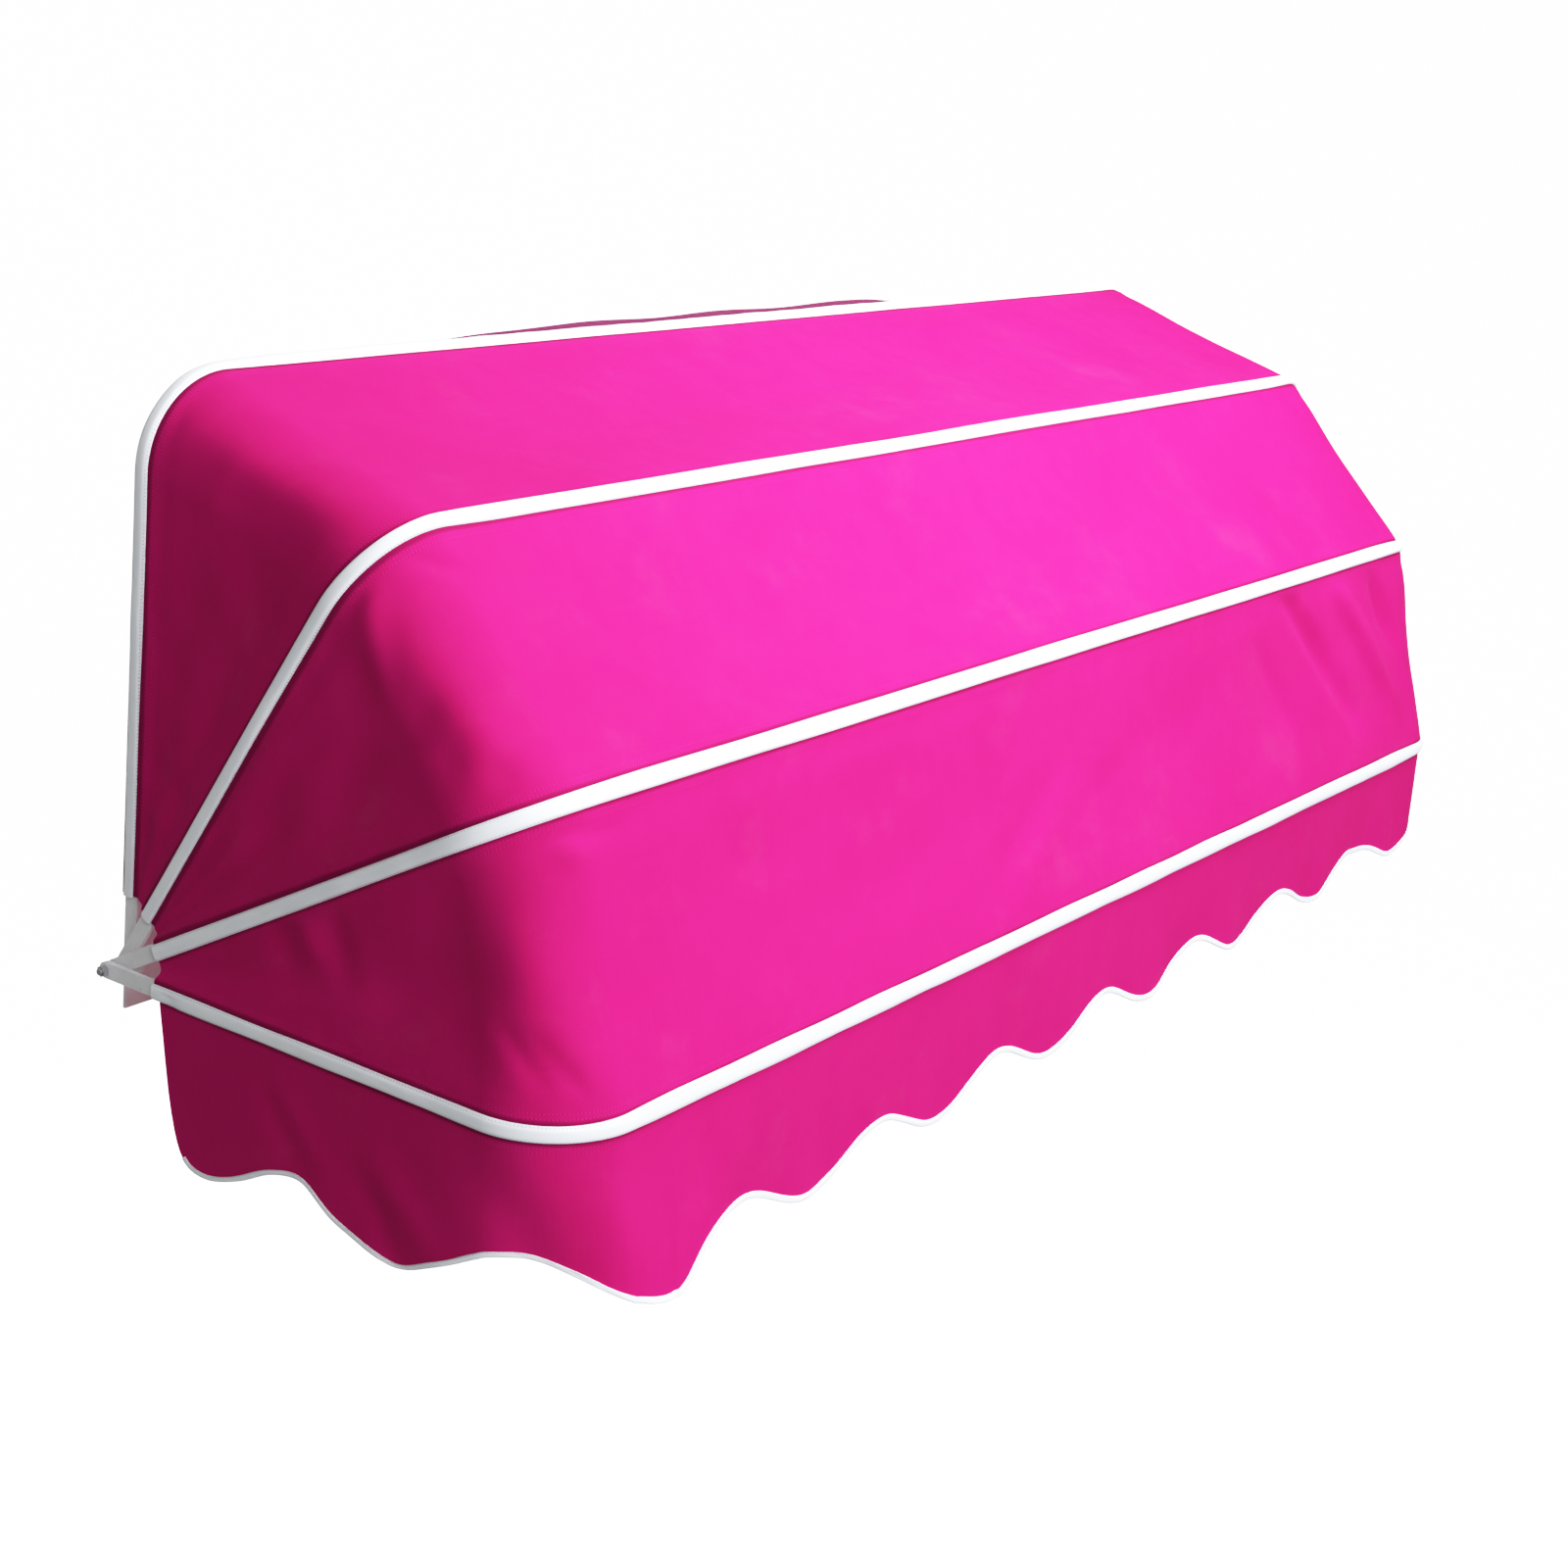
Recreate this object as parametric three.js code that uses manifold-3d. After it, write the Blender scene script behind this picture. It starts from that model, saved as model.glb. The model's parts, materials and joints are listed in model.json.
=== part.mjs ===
import * as THREE from "three";
import { mergeVertices } from "three/addons/utils/BufferGeometryUtils.js";
import Module from "manifold-3d";

// Folding hoop awning: a wall hoop and three swinging hoops share one pivot line,
// with cloth panels between them, a cloth trim over every hoop and a scalloped valance.
// Millimetres. +X along the width, the wall is the plane Y = 0, the front is toward -Y, +Z up.
// The origin is on the wall, in the middle of the width, at the height of the pivots.

// ---- driving dimensions -------------------------------------------------
const REACH = 700; // pivot line to the outer face of a trim at its crossbar
const WIDTH = 2300; // wall hoop, outer face of trim to outer face of trim
const NEST = 12; // each next hoop is this much wider on each side
const CORNER_R = 114; // corner radius at the outer face of the trim
const ANGLES = [0, 30.8, 59.0, 88.0]; // hoop angles, from straight up toward the front
const PIVOT_Y = -16; // pivot line in front of the wall
const TRIM_W = 22;
const TRIM_T = 2;
const CLOTH_T = 1.5;
const CLEAR = 0.3; // gap between pieces that touch
const UNDER_CLOTH = 0.8; // room between a hoop and its cloth
const TUBE_R = 10; // crossbar tube
const TUBE_WALL = 1.5;
const SPIGOT_R = 8.2;
const SPIGOT_L = 40;
const ARM_W = 20; // flat side arm
const ARM_T = 6;
const TONGUE_L = 50;
const TRIM_FOOT = 84; // where the trims start, from the pivot
const CLOTH_FOOT = 96; // where the cloth starts
const CLOTH_FLAT = 12.5; // cloth lies flat on a hoop this far to each side
const BOLT_R = 4;
const HOLE_R = 4.3;
const PLATE_W = 60;
const PLATE_H = 130;
const PLATE_T = 4;
const EAR_T = 5;
const EAR_R = 16;
const SCREW_Z = 46;
const CLIP_X = 800; // wall clips under the top bar
const CORD_X = 600; // pulleys and cord eyes
const PULLEY_Z = 628;
const SCALLOP = 284; // pitch along the front
const DROP_NOTCH = 148; // valance depth at the notches
const DROP_LOBE = 196; // and at the lobes
const DROP_CORNER = 206;
const BINDING_W = 9;
const ARC_STEPS = 8; // straight steps round a corner

const CLOTH_OUT = TRIM_T + CLEAR; // offsets inward from the trim's outer face
const CLOTH_IN = CLOTH_OUT + CLOTH_T;
const HOOP_OUT = CLOTH_IN + UNDER_CLOTH;
const TUBE_C = HOOP_OUT + TUBE_R;

const rad = (d) => (d * Math.PI) / 180;
const half = (i) => WIDTH / 2 + NEST * i;

// ---- helpers --------------------------------------------------------------
const wasm = await Module();
wasm.setup();

function bare(geometry) {
  const g = geometry.clone();
  for (const k of Object.keys(g.attributes)) if (k !== "position") g.deleteAttribute(k);
  return mergeVertices(g, 1e-4);
}

function solid(geometry) {
  const g = bare(geometry);
  const vertProperties = Float32Array.from(g.attributes.position.array);
  const triVerts = Uint32Array.from(g.index.array);
  return new wasm.Manifold(new wasm.Mesh({ numProp: 3, vertProperties, triVerts }));
}

function fromSolid(m) {
  const mesh = m.getMesh();
  const n = mesh.numProp;
  const pos = new Float32Array((mesh.vertProperties.length / n) * 3);
  for (let i = 0; i < pos.length / 3; i++)
    for (let k = 0; k < 3; k++) pos[i * 3 + k] = mesh.vertProperties[i * n + k];
  const g = new THREE.BufferGeometry();
  g.setAttribute("position", new THREE.BufferAttribute(pos, 3));
  g.setIndex(Array.from(mesh.triVerts));
  return g;
}

const add = (first, ...rest) => fromSolid(rest.reduce((a, b) => a.add(solid(b)), solid(first)));
const cut = (first, ...rest) => fromSolid(rest.reduce((a, b) => a.subtract(solid(b)), solid(first)));

// frame of one hoop: u along the width, v away from the pivot, w the way it swings down
function hoopMatrix(i) {
  const t = rad(ANGLES[i]);
  const m = new THREE.Matrix4().makeBasis(
    new THREE.Vector3(1, 0, 0),
    new THREE.Vector3(0, -Math.sin(t), Math.cos(t)),
    new THREE.Vector3(0, -Math.cos(t), -Math.sin(t)),
  );
  return m.setPosition(0, PIVOT_Y, 0);
}

function box(x0, x1, y0, y1, z0, z1) {
  const g = new THREE.BoxGeometry(x1 - x0, y1 - y0, z1 - z0);
  return g.translate((x0 + x1) / 2, (y0 + y1) / 2, (z0 + z1) / 2);
}

// solid cylinder along X from x0 to x1
function rodX(r, x0, x1, segs = 20) {
  const g = new THREE.CylinderGeometry(r, r, x1 - x0, segs);
  return g.rotateZ(Math.PI / 2).translate((x0 + x1) / 2, 0, 0);
}

// turned ring or tube along X; profile is a closed loop of [radius, x]
function turnedX(profile, segs = 20) {
  const pts = profile.map(([r, x]) => new THREE.Vector2(r, x));
  pts.push(pts[0].clone());
  return new THREE.LatheGeometry(pts, segs).rotateZ(-Math.PI / 2);
}

// outline of a hoop at an offset inside the trim's outer face, left foot to right foot
function hoopPath(i, offset, foot, arcSteps, splits = 0) {
  const h = half(i) - offset;
  const r = CORNER_R - offset;
  const top = REACH - CORNER_R;
  const side = [];
  for (let k = 0; k <= splits; k++) side.push([-h, foot + ((top - foot) * k) / (splits + 1)]);
  for (let k = 0; k <= arcSteps; k++) {
    const a = (Math.PI / 2) * (k / arcSteps);
    side.push([-h + r - r * Math.cos(a), top + r * Math.sin(a)]);
  }
  return side.concat(side.map(([u, v]) => [-u, v]).reverse());
}

function shapeOf(points) {
  return new THREE.Shape(points.map(([x, y]) => new THREE.Vector2(x, y)));
}

// closed sheet from two grids of points of the same size
function sheet(outer, inner) {
  const rows = outer.length;
  const cols = outer[0].length;
  const pos = [];
  for (const grid of [outer, inner]) for (const row of grid) for (const p of row) pos.push(p.x, p.y, p.z);
  const at = (layer, r, c) => layer * rows * cols + r * cols + c;
  const idx = [];
  const quad = (a, b, c, d) => idx.push(a, b, c, a, c, d);
  for (let r = 0; r < rows - 1; r++)
    for (let c = 0; c < cols - 1; c++) {
      quad(at(0, r, c), at(0, r + 1, c), at(0, r + 1, c + 1), at(0, r, c + 1));
      quad(at(1, r, c), at(1, r, c + 1), at(1, r + 1, c + 1), at(1, r + 1, c));
    }
  for (let r = 0; r < rows - 1; r++) {
    quad(at(0, r, 0), at(1, r, 0), at(1, r + 1, 0), at(0, r + 1, 0));
    quad(at(0, r, cols - 1), at(0, r + 1, cols - 1), at(1, r + 1, cols - 1), at(1, r, cols - 1));
  }
  for (let c = 0; c < cols - 1; c++) {
    quad(at(0, 0, c), at(0, 0, c + 1), at(1, 0, c + 1), at(1, 0, c));
    quad(at(0, rows - 1, c), at(1, rows - 1, c), at(1, rows - 1, c + 1), at(0, rows - 1, c + 1));
  }
  let vol = 0;
  const P = (k) => new THREE.Vector3(pos[k * 3], pos[k * 3 + 1], pos[k * 3 + 2]);
  for (let k = 0; k < idx.length; k += 3) vol += P(idx[k]).dot(P(idx[k + 1]).cross(P(idx[k + 2])));
  if (vol < 0) for (let k = 0; k < idx.length; k += 3) [idx[k + 1], idx[k + 2]] = [idx[k + 2], idx[k + 1]];
  const g = new THREE.BufferGeometry();
  g.setAttribute("position", new THREE.BufferAttribute(new Float32Array(pos), 3));
  g.setIndex(idx);
  return g;
}

class CornerCurve extends THREE.Curve {
  constructor(cx, cy, r) {
    super();
    Object.assign(this, { cx, cy, r });
  }
  getPoint(t, target = new THREE.Vector3()) {
    const a = Math.PI - (Math.PI / 2) * t;
    return target.set(this.cx + this.r * Math.cos(a), this.cy + this.r * Math.sin(a), 0);
  }
}

// ---- materials and the group ---------------------------------------------
const LOOKS = {
  cloth: { color: 0xe02a93, roughness: 0.85, metalness: 0 },
  tape: { color: 0xf2f3f1, roughness: 0.8, metalness: 0 },
  aluminium: { color: 0xc4c7ca, roughness: 0.38, metalness: 1 },
  casting: { color: 0xb4b7ba, roughness: 0.5, metalness: 1 },
  painted: { color: 0xeeefee, roughness: 0.45, metalness: 0.1 },
  steel: { color: 0xa9adb1, roughness: 0.32, metalness: 1 },
  nylon: { color: 0xdfe0dc, roughness: 0.55, metalness: 0 },
};

const awning = new THREE.Group();
awning.name = "folding_hoop_awning";

function put(name, geometry, look, matrix = null) {
  let g = geometry.index ? geometry : mergeVertices(geometry);
  g = g.clone();
  for (const k of Object.keys(g.attributes)) if (k !== "position") g.deleteAttribute(k);
  if (matrix) g.applyMatrix4(matrix);
  g = g.toNonIndexed();
  g.computeVertexNormals();
  const m = new THREE.MeshStandardMaterial(LOOKS[look]);
  m.name = look;
  const mesh = new THREE.Mesh(g, m);
  mesh.name = name;
  awning.add(mesh);
}

const mirrorX = (g) => fromSolid(solid(g).mirror([1, 0, 0]));

// ---- hoops ------------------------------------------------------------------
const HOOPS = ["wall", "upper", "middle", "front"];

// flat arm with an eye at the pivot, drawn in v and w and thickened along u
function armGeometry(i) {
  const top = REACH - CORNER_R - CLEAR;
  const r = ARM_W / 2;
  const s = new THREE.Shape();
  s.moveTo(0, r);
  s.lineTo(top, r);
  s.lineTo(top, -r);
  s.lineTo(0, -r);
  s.absarc(0, 0, r, -Math.PI / 2, Math.PI / 2, true);
  const hole = new THREE.Path();
  hole.absarc(0, 0, HOLE_R, 0, Math.PI * 2, false);
  s.holes.push(hole);
  const g = new THREE.ExtrudeGeometry(s, { depth: ARM_T, bevelEnabled: false, curveSegments: 10 });
  // x to v, y to w, z to u
  const m = new THREE.Matrix4().set(0, 0, 1, 0, 1, 0, 0, 0, 0, 1, 0, 0, 0, 0, 0, 1);
  g.applyMatrix4(m);
  return g.translate(-(half(i) - HOOP_OUT), 0, 0);
}

// corner: quarter bend with a spigot for the tube and a tongue behind the arm
function elbowGeometry(i) {
  const cx = -(half(i) - CORNER_R);
  const cy = REACH - CORNER_R;
  const rc = CORNER_R - TUBE_C;
  const section = new THREE.Shape();
  section.absarc(0, 0, TUBE_R, 0, Math.PI * 2, false);
  const bend = new THREE.ExtrudeGeometry(section, {
    steps: ARC_STEPS,
    curveSegments: 6,
    bevelEnabled: false,
    extrudePath: new CornerCurve(cx, cy, rc),
  });
  const spigot = rodX(SPIGOT_R, cx - 4, cx + SPIGOT_L, 14).translate(0, cy + rc, 0);
  const uArmIn = -(half(i) - HOOP_OUT) + ARM_T;
  const tongue = box(uArmIn + CLEAR, uArmIn + CLEAR + ARM_T, cy - TONGUE_L, cy + 3, -ARM_W / 2 + 1.5, ARM_W / 2 - 1.5);
  return add(bend, spigot, tongue);
}

function barGeometry(i) {
  const x = half(i) - CORNER_R - CLEAR;
  const ri = TUBE_R - TUBE_WALL;
  return turnedX([[ri, -x], [TUBE_R, -x], [TUBE_R, x], [ri, x]], 20).translate(0, REACH - TUBE_C, 0);
}

function trimGeometry(i) {
  const outline = hoopPath(i, 0, TRIM_FOOT, ARC_STEPS).concat(hoopPath(i, TRIM_T, TRIM_FOOT, ARC_STEPS).reverse());
  const g = new THREE.ExtrudeGeometry(shapeOf(outline), { depth: TRIM_W, bevelEnabled: false });
  return g.translate(0, 0, -TRIM_W / 2);
}

HOOPS.forEach((name, i) => {
  const m = hoopMatrix(i);
  const arm = armGeometry(i);
  const elbow = elbowGeometry(i);
  put(`${name}_arm_left`, arm, "aluminium", m);
  put(`${name}_arm_right`, mirrorX(arm), "aluminium", m);
  put(`${name}_corner_left`, elbow, "casting", m);
  put(`${name}_corner_right`, mirrorX(elbow), "casting", m);
  put(`${name}_bar`, barGeometry(i), "aluminium", m);
  put(`${name}_trim`, trimGeometry(i), "tape", m);
});

// ---- cloth panels between the hoops ----------------------------------------
function panelGeometry(i) {
  const grids = [CLOTH_OUT, CLOTH_IN].map((offset) => {
    const a = hoopPath(i, offset, CLOTH_FOOT, ARC_STEPS, 1);
    const b = hoopPath(i + 1, offset, CLOTH_FOOT, ARC_STEPS, 1);
    const ma = hoopMatrix(i);
    const mb = hoopMatrix(i + 1);
    return a.map((p, k) => {
      const q = b[k];
      const at = (pt, w, m) => new THREE.Vector3(pt[0], pt[1], w).applyMatrix4(m);
      const from = at(p, CLOTH_FLAT, ma);
      const to = at(q, -CLOTH_FLAT, mb);
      const mid = from.clone().lerp(to, 0.5);
      return [at(p, CLEAR, ma), from, mid, to, at(q, -CLEAR, mb)];
    });
  });
  return sheet(grids[0], grids[1]);
}
["canopy_upper", "canopy_middle", "canopy_lower"].forEach((name, i) => put(name, panelGeometry(i), "cloth"));

// ---- scalloped valance under the front hoop ---------------------------------
const FRONT = 3;
const SIDE_TOP = REACH - CORNER_R;
const VAL_R = CORNER_R - CLOTH_OUT;
const ARC_L = (Math.PI / 2) * VAL_R;
const STRAIGHT = half(FRONT) - CORNER_R;

// distance along the hem from the middle of the front, for a place on the left side or the front
const hemOfSide = (v) => -(STRAIGHT + ARC_L + (SIDE_TOP - v));
const NOTCHES = [];
for (let k = 0; k <= 3; k++) NOTCHES.push(SCALLOP * k);
NOTCHES.push(-hemOfSide(604), -hemOfSide(320));
const HEM_END = -hemOfSide(CLOTH_FOOT + 8);

function dropAt(hem) {
  const s = Math.abs(hem);
  for (let k = 0; k + 1 < NOTCHES.length; k++)
    if (s <= NOTCHES[k + 1]) {
      const t = (s - NOTCHES[k]) / (NOTCHES[k + 1] - NOTCHES[k]);
      const lobe = k === 3 ? DROP_CORNER : DROP_LOBE;
      return DROP_NOTCH + ((lobe - DROP_NOTCH) * (1 - Math.cos(2 * Math.PI * t))) / 2;
    }
  // last lobe, which rounds up to the rear edge
  const t = (s - NOTCHES[5]) / (HEM_END - NOTCHES[5]);
  const lobe = DROP_NOTCH + (DROP_LOBE - DROP_NOTCH) * Math.sin((Math.PI / 2) * Math.min(1, t / 0.66));
  return t < 0.8 ? lobe : lobe - 42 * ((t - 0.8) / 0.2) ** 2;
}

// point on the front hoop's outline for a hem distance, at an offset inside the trim face
function hoopPoint(hem, offset) {
  const s = Math.abs(hem);
  const sign = hem < 0 ? -1 : 1;
  const r = CORNER_R - offset;
  if (s <= STRAIGHT) return [sign * s, REACH - offset];
  if (s <= STRAIGHT + ARC_L) {
    const a = (s - STRAIGHT) / VAL_R;
    return [sign * (STRAIGHT + r * Math.sin(a)), SIDE_TOP + r * Math.cos(a)];
  }
  return [sign * (half(FRONT) - offset), SIDE_TOP - (s - STRAIGHT - ARC_L)];
}

const HEMS = [];
{
  const stops = [...NOTCHES, HEM_END];
  const right = [];
  for (let k = 0; k + 1 < stops.length; k++)
    for (let j = 0; j < 6; j++) right.push(stops[k] + ((stops[k + 1] - stops[k]) * j) / 6);
  right.push(HEM_END);
  const bend = right.filter((s) => s < STRAIGHT - 4 || s > STRAIGHT + ARC_L + 4);
  for (let k = 0; k <= ARC_STEPS; k++) bend.push(STRAIGHT + (ARC_L * k) / ARC_STEPS);
  right.splice(0, right.length, ...bend.sort((a, b) => a - b));
  HEMS.push(...right.slice(1).map((s) => -s).reverse(), ...right);
}

function hangingStrip(top, bottom, out, inn) {
  const m = hoopMatrix(FRONT);
  const grid = (offset) =>
    HEMS.map((hem) => {
      const [u, v] = hoopPoint(hem, offset);
      return [top(hem), bottom(hem)].map((w) => new THREE.Vector3(u, v, w).applyMatrix4(m));
    });
  return sheet(grid(out), grid(inn));
}
put("valance", hangingStrip(() => CLEAR, dropAt, CLOTH_OUT, CLOTH_IN), "cloth");
put(
  "valance_binding",
  hangingStrip((h) => dropAt(h) + CLEAR, (h) => dropAt(h) + BINDING_W, CLOTH_OUT - 0.6, CLOTH_IN + 0.6),
  "tape",
);

// ---- wall brackets, pivots and spacers --------------------------------------
const armIn = half(0) - HOOP_OUT - ARM_T; // inner face of the wall arm
const earOut = armIn - CLEAR;
const earIn = earOut - EAR_T;
const stackOut = half(3) - HOOP_OUT; // outer face of the front arm

function bracketGeometry() {
  const plate = box(-earOut, -earOut + PLATE_W, -PLATE_T, 0, -PLATE_H / 2, PLATE_H / 2);
  const s = new THREE.Shape();
  s.moveTo(-PLATE_T + 1, -34);
  s.lineTo(-PLATE_T + 1, 34);
  s.lineTo(PIVOT_Y - 2, EAR_R);
  s.absarc(PIVOT_Y, 0, EAR_R, Math.PI / 2, Math.PI * 1.5, false);
  s.lineTo(PIVOT_Y - 2, -EAR_R);
  const ear = new THREE.ExtrudeGeometry(s, { depth: EAR_T, bevelEnabled: false, curveSegments: 8 });
  // x to Y, y to Z, z to X
  ear.applyMatrix4(new THREE.Matrix4().set(0, 0, 1, -earOut, 1, 0, 0, 0, 0, 1, 0, 0, 0, 0, 0, 1));
  const hole = rodX(HOLE_R, -earOut - 5, -earIn + 5, 20).translate(0, PIVOT_Y, 0);
  const holes = [-SCREW_Z, SCREW_Z].map((z) =>
    new THREE.CylinderGeometry(2.8, 2.8, 20, 16).translate(-earOut + PLATE_W / 2 + 4, 0, z),
  );
  return cut(add(plate, ear), hole, ...holes);
}

function boltGeometry() {
  const head = new THREE.CylinderGeometry(7.2, 7.2, 5.3, 6).rotateZ(Math.PI / 2).translate(-earIn + CLEAR + 2.65, 0, 0);
  const shank = rodX(BOLT_R, -stackOut - 10, -earIn + CLEAR + 2, 20);
  return add(head, shank).translate(0, PIVOT_Y, 0);
}

function nutGeometry() {
  const hex = new THREE.CylinderGeometry(7.2, 7.2, 6.5, 6).rotateZ(Math.PI / 2).translate(-stackOut - CLEAR - 3.25, 0, 0);
  return cut(hex, rodX(HOLE_R, -stackOut - 12, -stackOut + 4, 20)).translate(0, PIVOT_Y, 0);
}

function spacerGeometry(i) {
  const x0 = -(half(i + 1) - HOOP_OUT - ARM_T) + CLEAR;
  const x1 = -(half(i) - HOOP_OUT) - CLEAR;
  return turnedX([[HOLE_R, x0], [9, x0], [9, x1], [HOLE_R, x1]], 16).translate(0, PIVOT_Y, 0);
}

function screwGeometry(z) {
  const head = new THREE.CylinderGeometry(4.6, 4.6, 2.6, 14).translate(0, -PLATE_T - CLEAR - 1.3, 0);
  const shank = new THREE.CylinderGeometry(2.4, 2.4, PLATE_T + 1, 14).translate(0, -(PLATE_T + 1) / 2, 0);
  return add(head, shank).translate(-earOut + PLATE_W / 2 + 4, 0, z);
}

function pair(name, geometry, look) {
  put(`${name}_left`, geometry, look);
  put(`${name}_right`, mirrorX(geometry), look);
}

pair("wall_bracket", bracketGeometry(), "painted");
pair("pivot_bolt", boltGeometry(), "steel");
pair("pivot_nut", nutGeometry(), "steel");
pair("pivot_spacer_inner", spacerGeometry(0), "nylon");
pair("pivot_spacer_middle", spacerGeometry(1), "nylon");
pair("pivot_spacer_outer", spacerGeometry(2), "nylon");
pair("bracket_screw_top", screwGeometry(SCREW_Z), "steel");
pair("bracket_screw_bottom", screwGeometry(-SCREW_Z), "steel");

// ---- wall clips that carry the top bar ---------------------------------------
function clipGeometry(x) {
  const zc = REACH - TUBE_C;
  const r = TUBE_R + CLEAR;
  const t = 3.2;
  const s = new THREE.Shape();
  s.moveTo(0, zc - 58);
  s.lineTo(0, zc + 4);
  s.lineTo(-3, zc + 4);
  s.lineTo(PIVOT_Y + r, zc);
  s.absarc(PIVOT_Y, zc, r, 0, -Math.PI * 0.93, true);
  s.absarc(PIVOT_Y, zc, r + t, -Math.PI * 0.93, -Math.PI * 0.28, false);
  s.lineTo(-3, zc - 18);
  s.lineTo(-3, zc - 58);
  const g = new THREE.ExtrudeGeometry(s, { depth: 28, bevelEnabled: false, curveSegments: 10 });
  g.applyMatrix4(new THREE.Matrix4().set(0, 0, 1, x - 14, 1, 0, 0, 0, 0, 1, 0, 0, 0, 0, 0, 1));
  const hole = new THREE.CylinderGeometry(2.8, 2.8, 20, 14).translate(x, 0, zc - 42);
  return cut(g, hole);
}
put("wall_clip_left", clipGeometry(-CLIP_X), "painted");
put("wall_clip_middle", clipGeometry(0), "painted");
put("wall_clip_right", clipGeometry(CLIP_X), "painted");

// ---- cord guides: a pulley on the wall and an eye on the front bar, each side ----
const WHEEL_Y = -17;

function pulleyBlockGeometry() {
  const back = box(-CORD_X - 13, -CORD_X + 13, -3, 0, PULLEY_Z - 30, PULLEY_Z + 20);
  const cheek = (x) => box(x, x + 2.5, WHEEL_Y - 9, -2, PULLEY_Z - 11, PULLEY_Z + 11);
  const pin = rodX(2.8, -CORD_X - 20, -CORD_X + 20, 14).translate(0, WHEEL_Y, PULLEY_Z);
  const hole = new THREE.CylinderGeometry(2.6, 2.6, 20, 12).translate(-CORD_X, 0, PULLEY_Z - 20);
  return cut(add(back, cheek(-CORD_X - 7), cheek(-CORD_X + 4.5)), pin, hole);
}

function wheelGeometry() {
  return turnedX(
    [[2.8, -3.6], [11.5, -3.6], [11.5, -2.6], [8, -0.8], [8, 0.8], [11.5, 2.6], [11.5, 3.6], [2.8, 3.6]],
    20,
  ).translate(-CORD_X, WHEEL_Y, PULLEY_Z);
}

function axleGeometry() {
  return rodX(2.5, -CORD_X - 9, -CORD_X + 9, 14).translate(0, WHEEL_Y, PULLEY_Z);
}

function eyeGeometry() {
  const under = REACH - TUBE_C - TUBE_R - CLEAR;
  const ring = new THREE.TorusGeometry(8, 2.2, 6, 14).translate(-CORD_X, under - 14, 0);
  const stem = new THREE.CylinderGeometry(2.6, 2.6, 7, 12).translate(-CORD_X, under - 3.5, 0);
  const foot = new THREE.CylinderGeometry(4.5, 4.5, 1.6, 14).translate(-CORD_X, under - 0.8 - 0.6, 0);
  return add(ring, stem, foot);
}

pair("pulley_block", pulleyBlockGeometry(), "painted");
pair("pulley_wheel", wheelGeometry(), "nylon");
pair("pulley_axle", axleGeometry(), "steel");
{
  const eye = eyeGeometry();
  const m = hoopMatrix(FRONT);
  put("cord_eye_left", eye, "steel", m);
  put("cord_eye_right", mirrorX(eye), "steel", m);
}

export default awning;
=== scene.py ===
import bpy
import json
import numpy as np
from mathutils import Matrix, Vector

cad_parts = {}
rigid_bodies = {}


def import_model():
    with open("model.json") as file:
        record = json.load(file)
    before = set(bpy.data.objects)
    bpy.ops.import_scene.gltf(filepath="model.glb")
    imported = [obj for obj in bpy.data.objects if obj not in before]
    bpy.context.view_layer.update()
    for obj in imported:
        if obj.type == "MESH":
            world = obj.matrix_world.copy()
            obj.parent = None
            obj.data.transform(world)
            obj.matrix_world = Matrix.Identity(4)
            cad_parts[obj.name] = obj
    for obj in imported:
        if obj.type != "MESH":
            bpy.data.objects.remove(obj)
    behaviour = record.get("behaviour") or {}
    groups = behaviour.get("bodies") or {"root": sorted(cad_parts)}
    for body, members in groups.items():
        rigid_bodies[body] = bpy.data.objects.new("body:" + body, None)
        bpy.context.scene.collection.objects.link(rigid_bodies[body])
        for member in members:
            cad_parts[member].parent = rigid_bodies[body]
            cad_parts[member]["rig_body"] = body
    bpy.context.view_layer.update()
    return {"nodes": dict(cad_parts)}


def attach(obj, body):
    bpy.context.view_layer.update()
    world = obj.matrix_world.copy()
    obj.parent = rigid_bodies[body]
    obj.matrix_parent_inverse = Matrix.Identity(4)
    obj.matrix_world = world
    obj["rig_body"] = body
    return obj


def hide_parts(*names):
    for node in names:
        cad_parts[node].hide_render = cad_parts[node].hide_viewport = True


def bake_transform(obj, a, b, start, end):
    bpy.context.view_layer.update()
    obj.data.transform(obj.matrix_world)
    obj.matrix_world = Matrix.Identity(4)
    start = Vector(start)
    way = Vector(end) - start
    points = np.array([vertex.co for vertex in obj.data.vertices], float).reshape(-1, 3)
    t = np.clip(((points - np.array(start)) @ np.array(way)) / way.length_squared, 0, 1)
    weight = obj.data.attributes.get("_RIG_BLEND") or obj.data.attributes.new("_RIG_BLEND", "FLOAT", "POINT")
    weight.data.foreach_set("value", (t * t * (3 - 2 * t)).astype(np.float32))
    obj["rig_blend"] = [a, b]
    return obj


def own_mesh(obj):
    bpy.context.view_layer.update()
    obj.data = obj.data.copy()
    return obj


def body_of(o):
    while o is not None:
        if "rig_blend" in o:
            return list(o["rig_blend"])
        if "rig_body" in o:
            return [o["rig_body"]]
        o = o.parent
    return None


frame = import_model()

import json
import math

import bmesh
import bpy
import numpy as np
from mathutils import Matrix, Vector

rng = np.random.RandomState(20)
scene = bpy.context.scene
nodes = frame["nodes"]

# ---------------------------------------------------------------- the awning's own geometry, in metres
PIVOT_Y = -0.016
ANGLES = np.radians([0.0, 30.8, 59.0, 88.0])
HOOPS = ["wall", "upper", "middle", "front"]
BODIES = ["wall_frame", "upper_hoop", "middle_hoop", "front_hoop"]
REACH, CORNER = 0.700, 0.114
LAP = 0.0125
CLOTH_T = 0.0012


def half(i):
    return 1.150 + 0.012 * i


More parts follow.
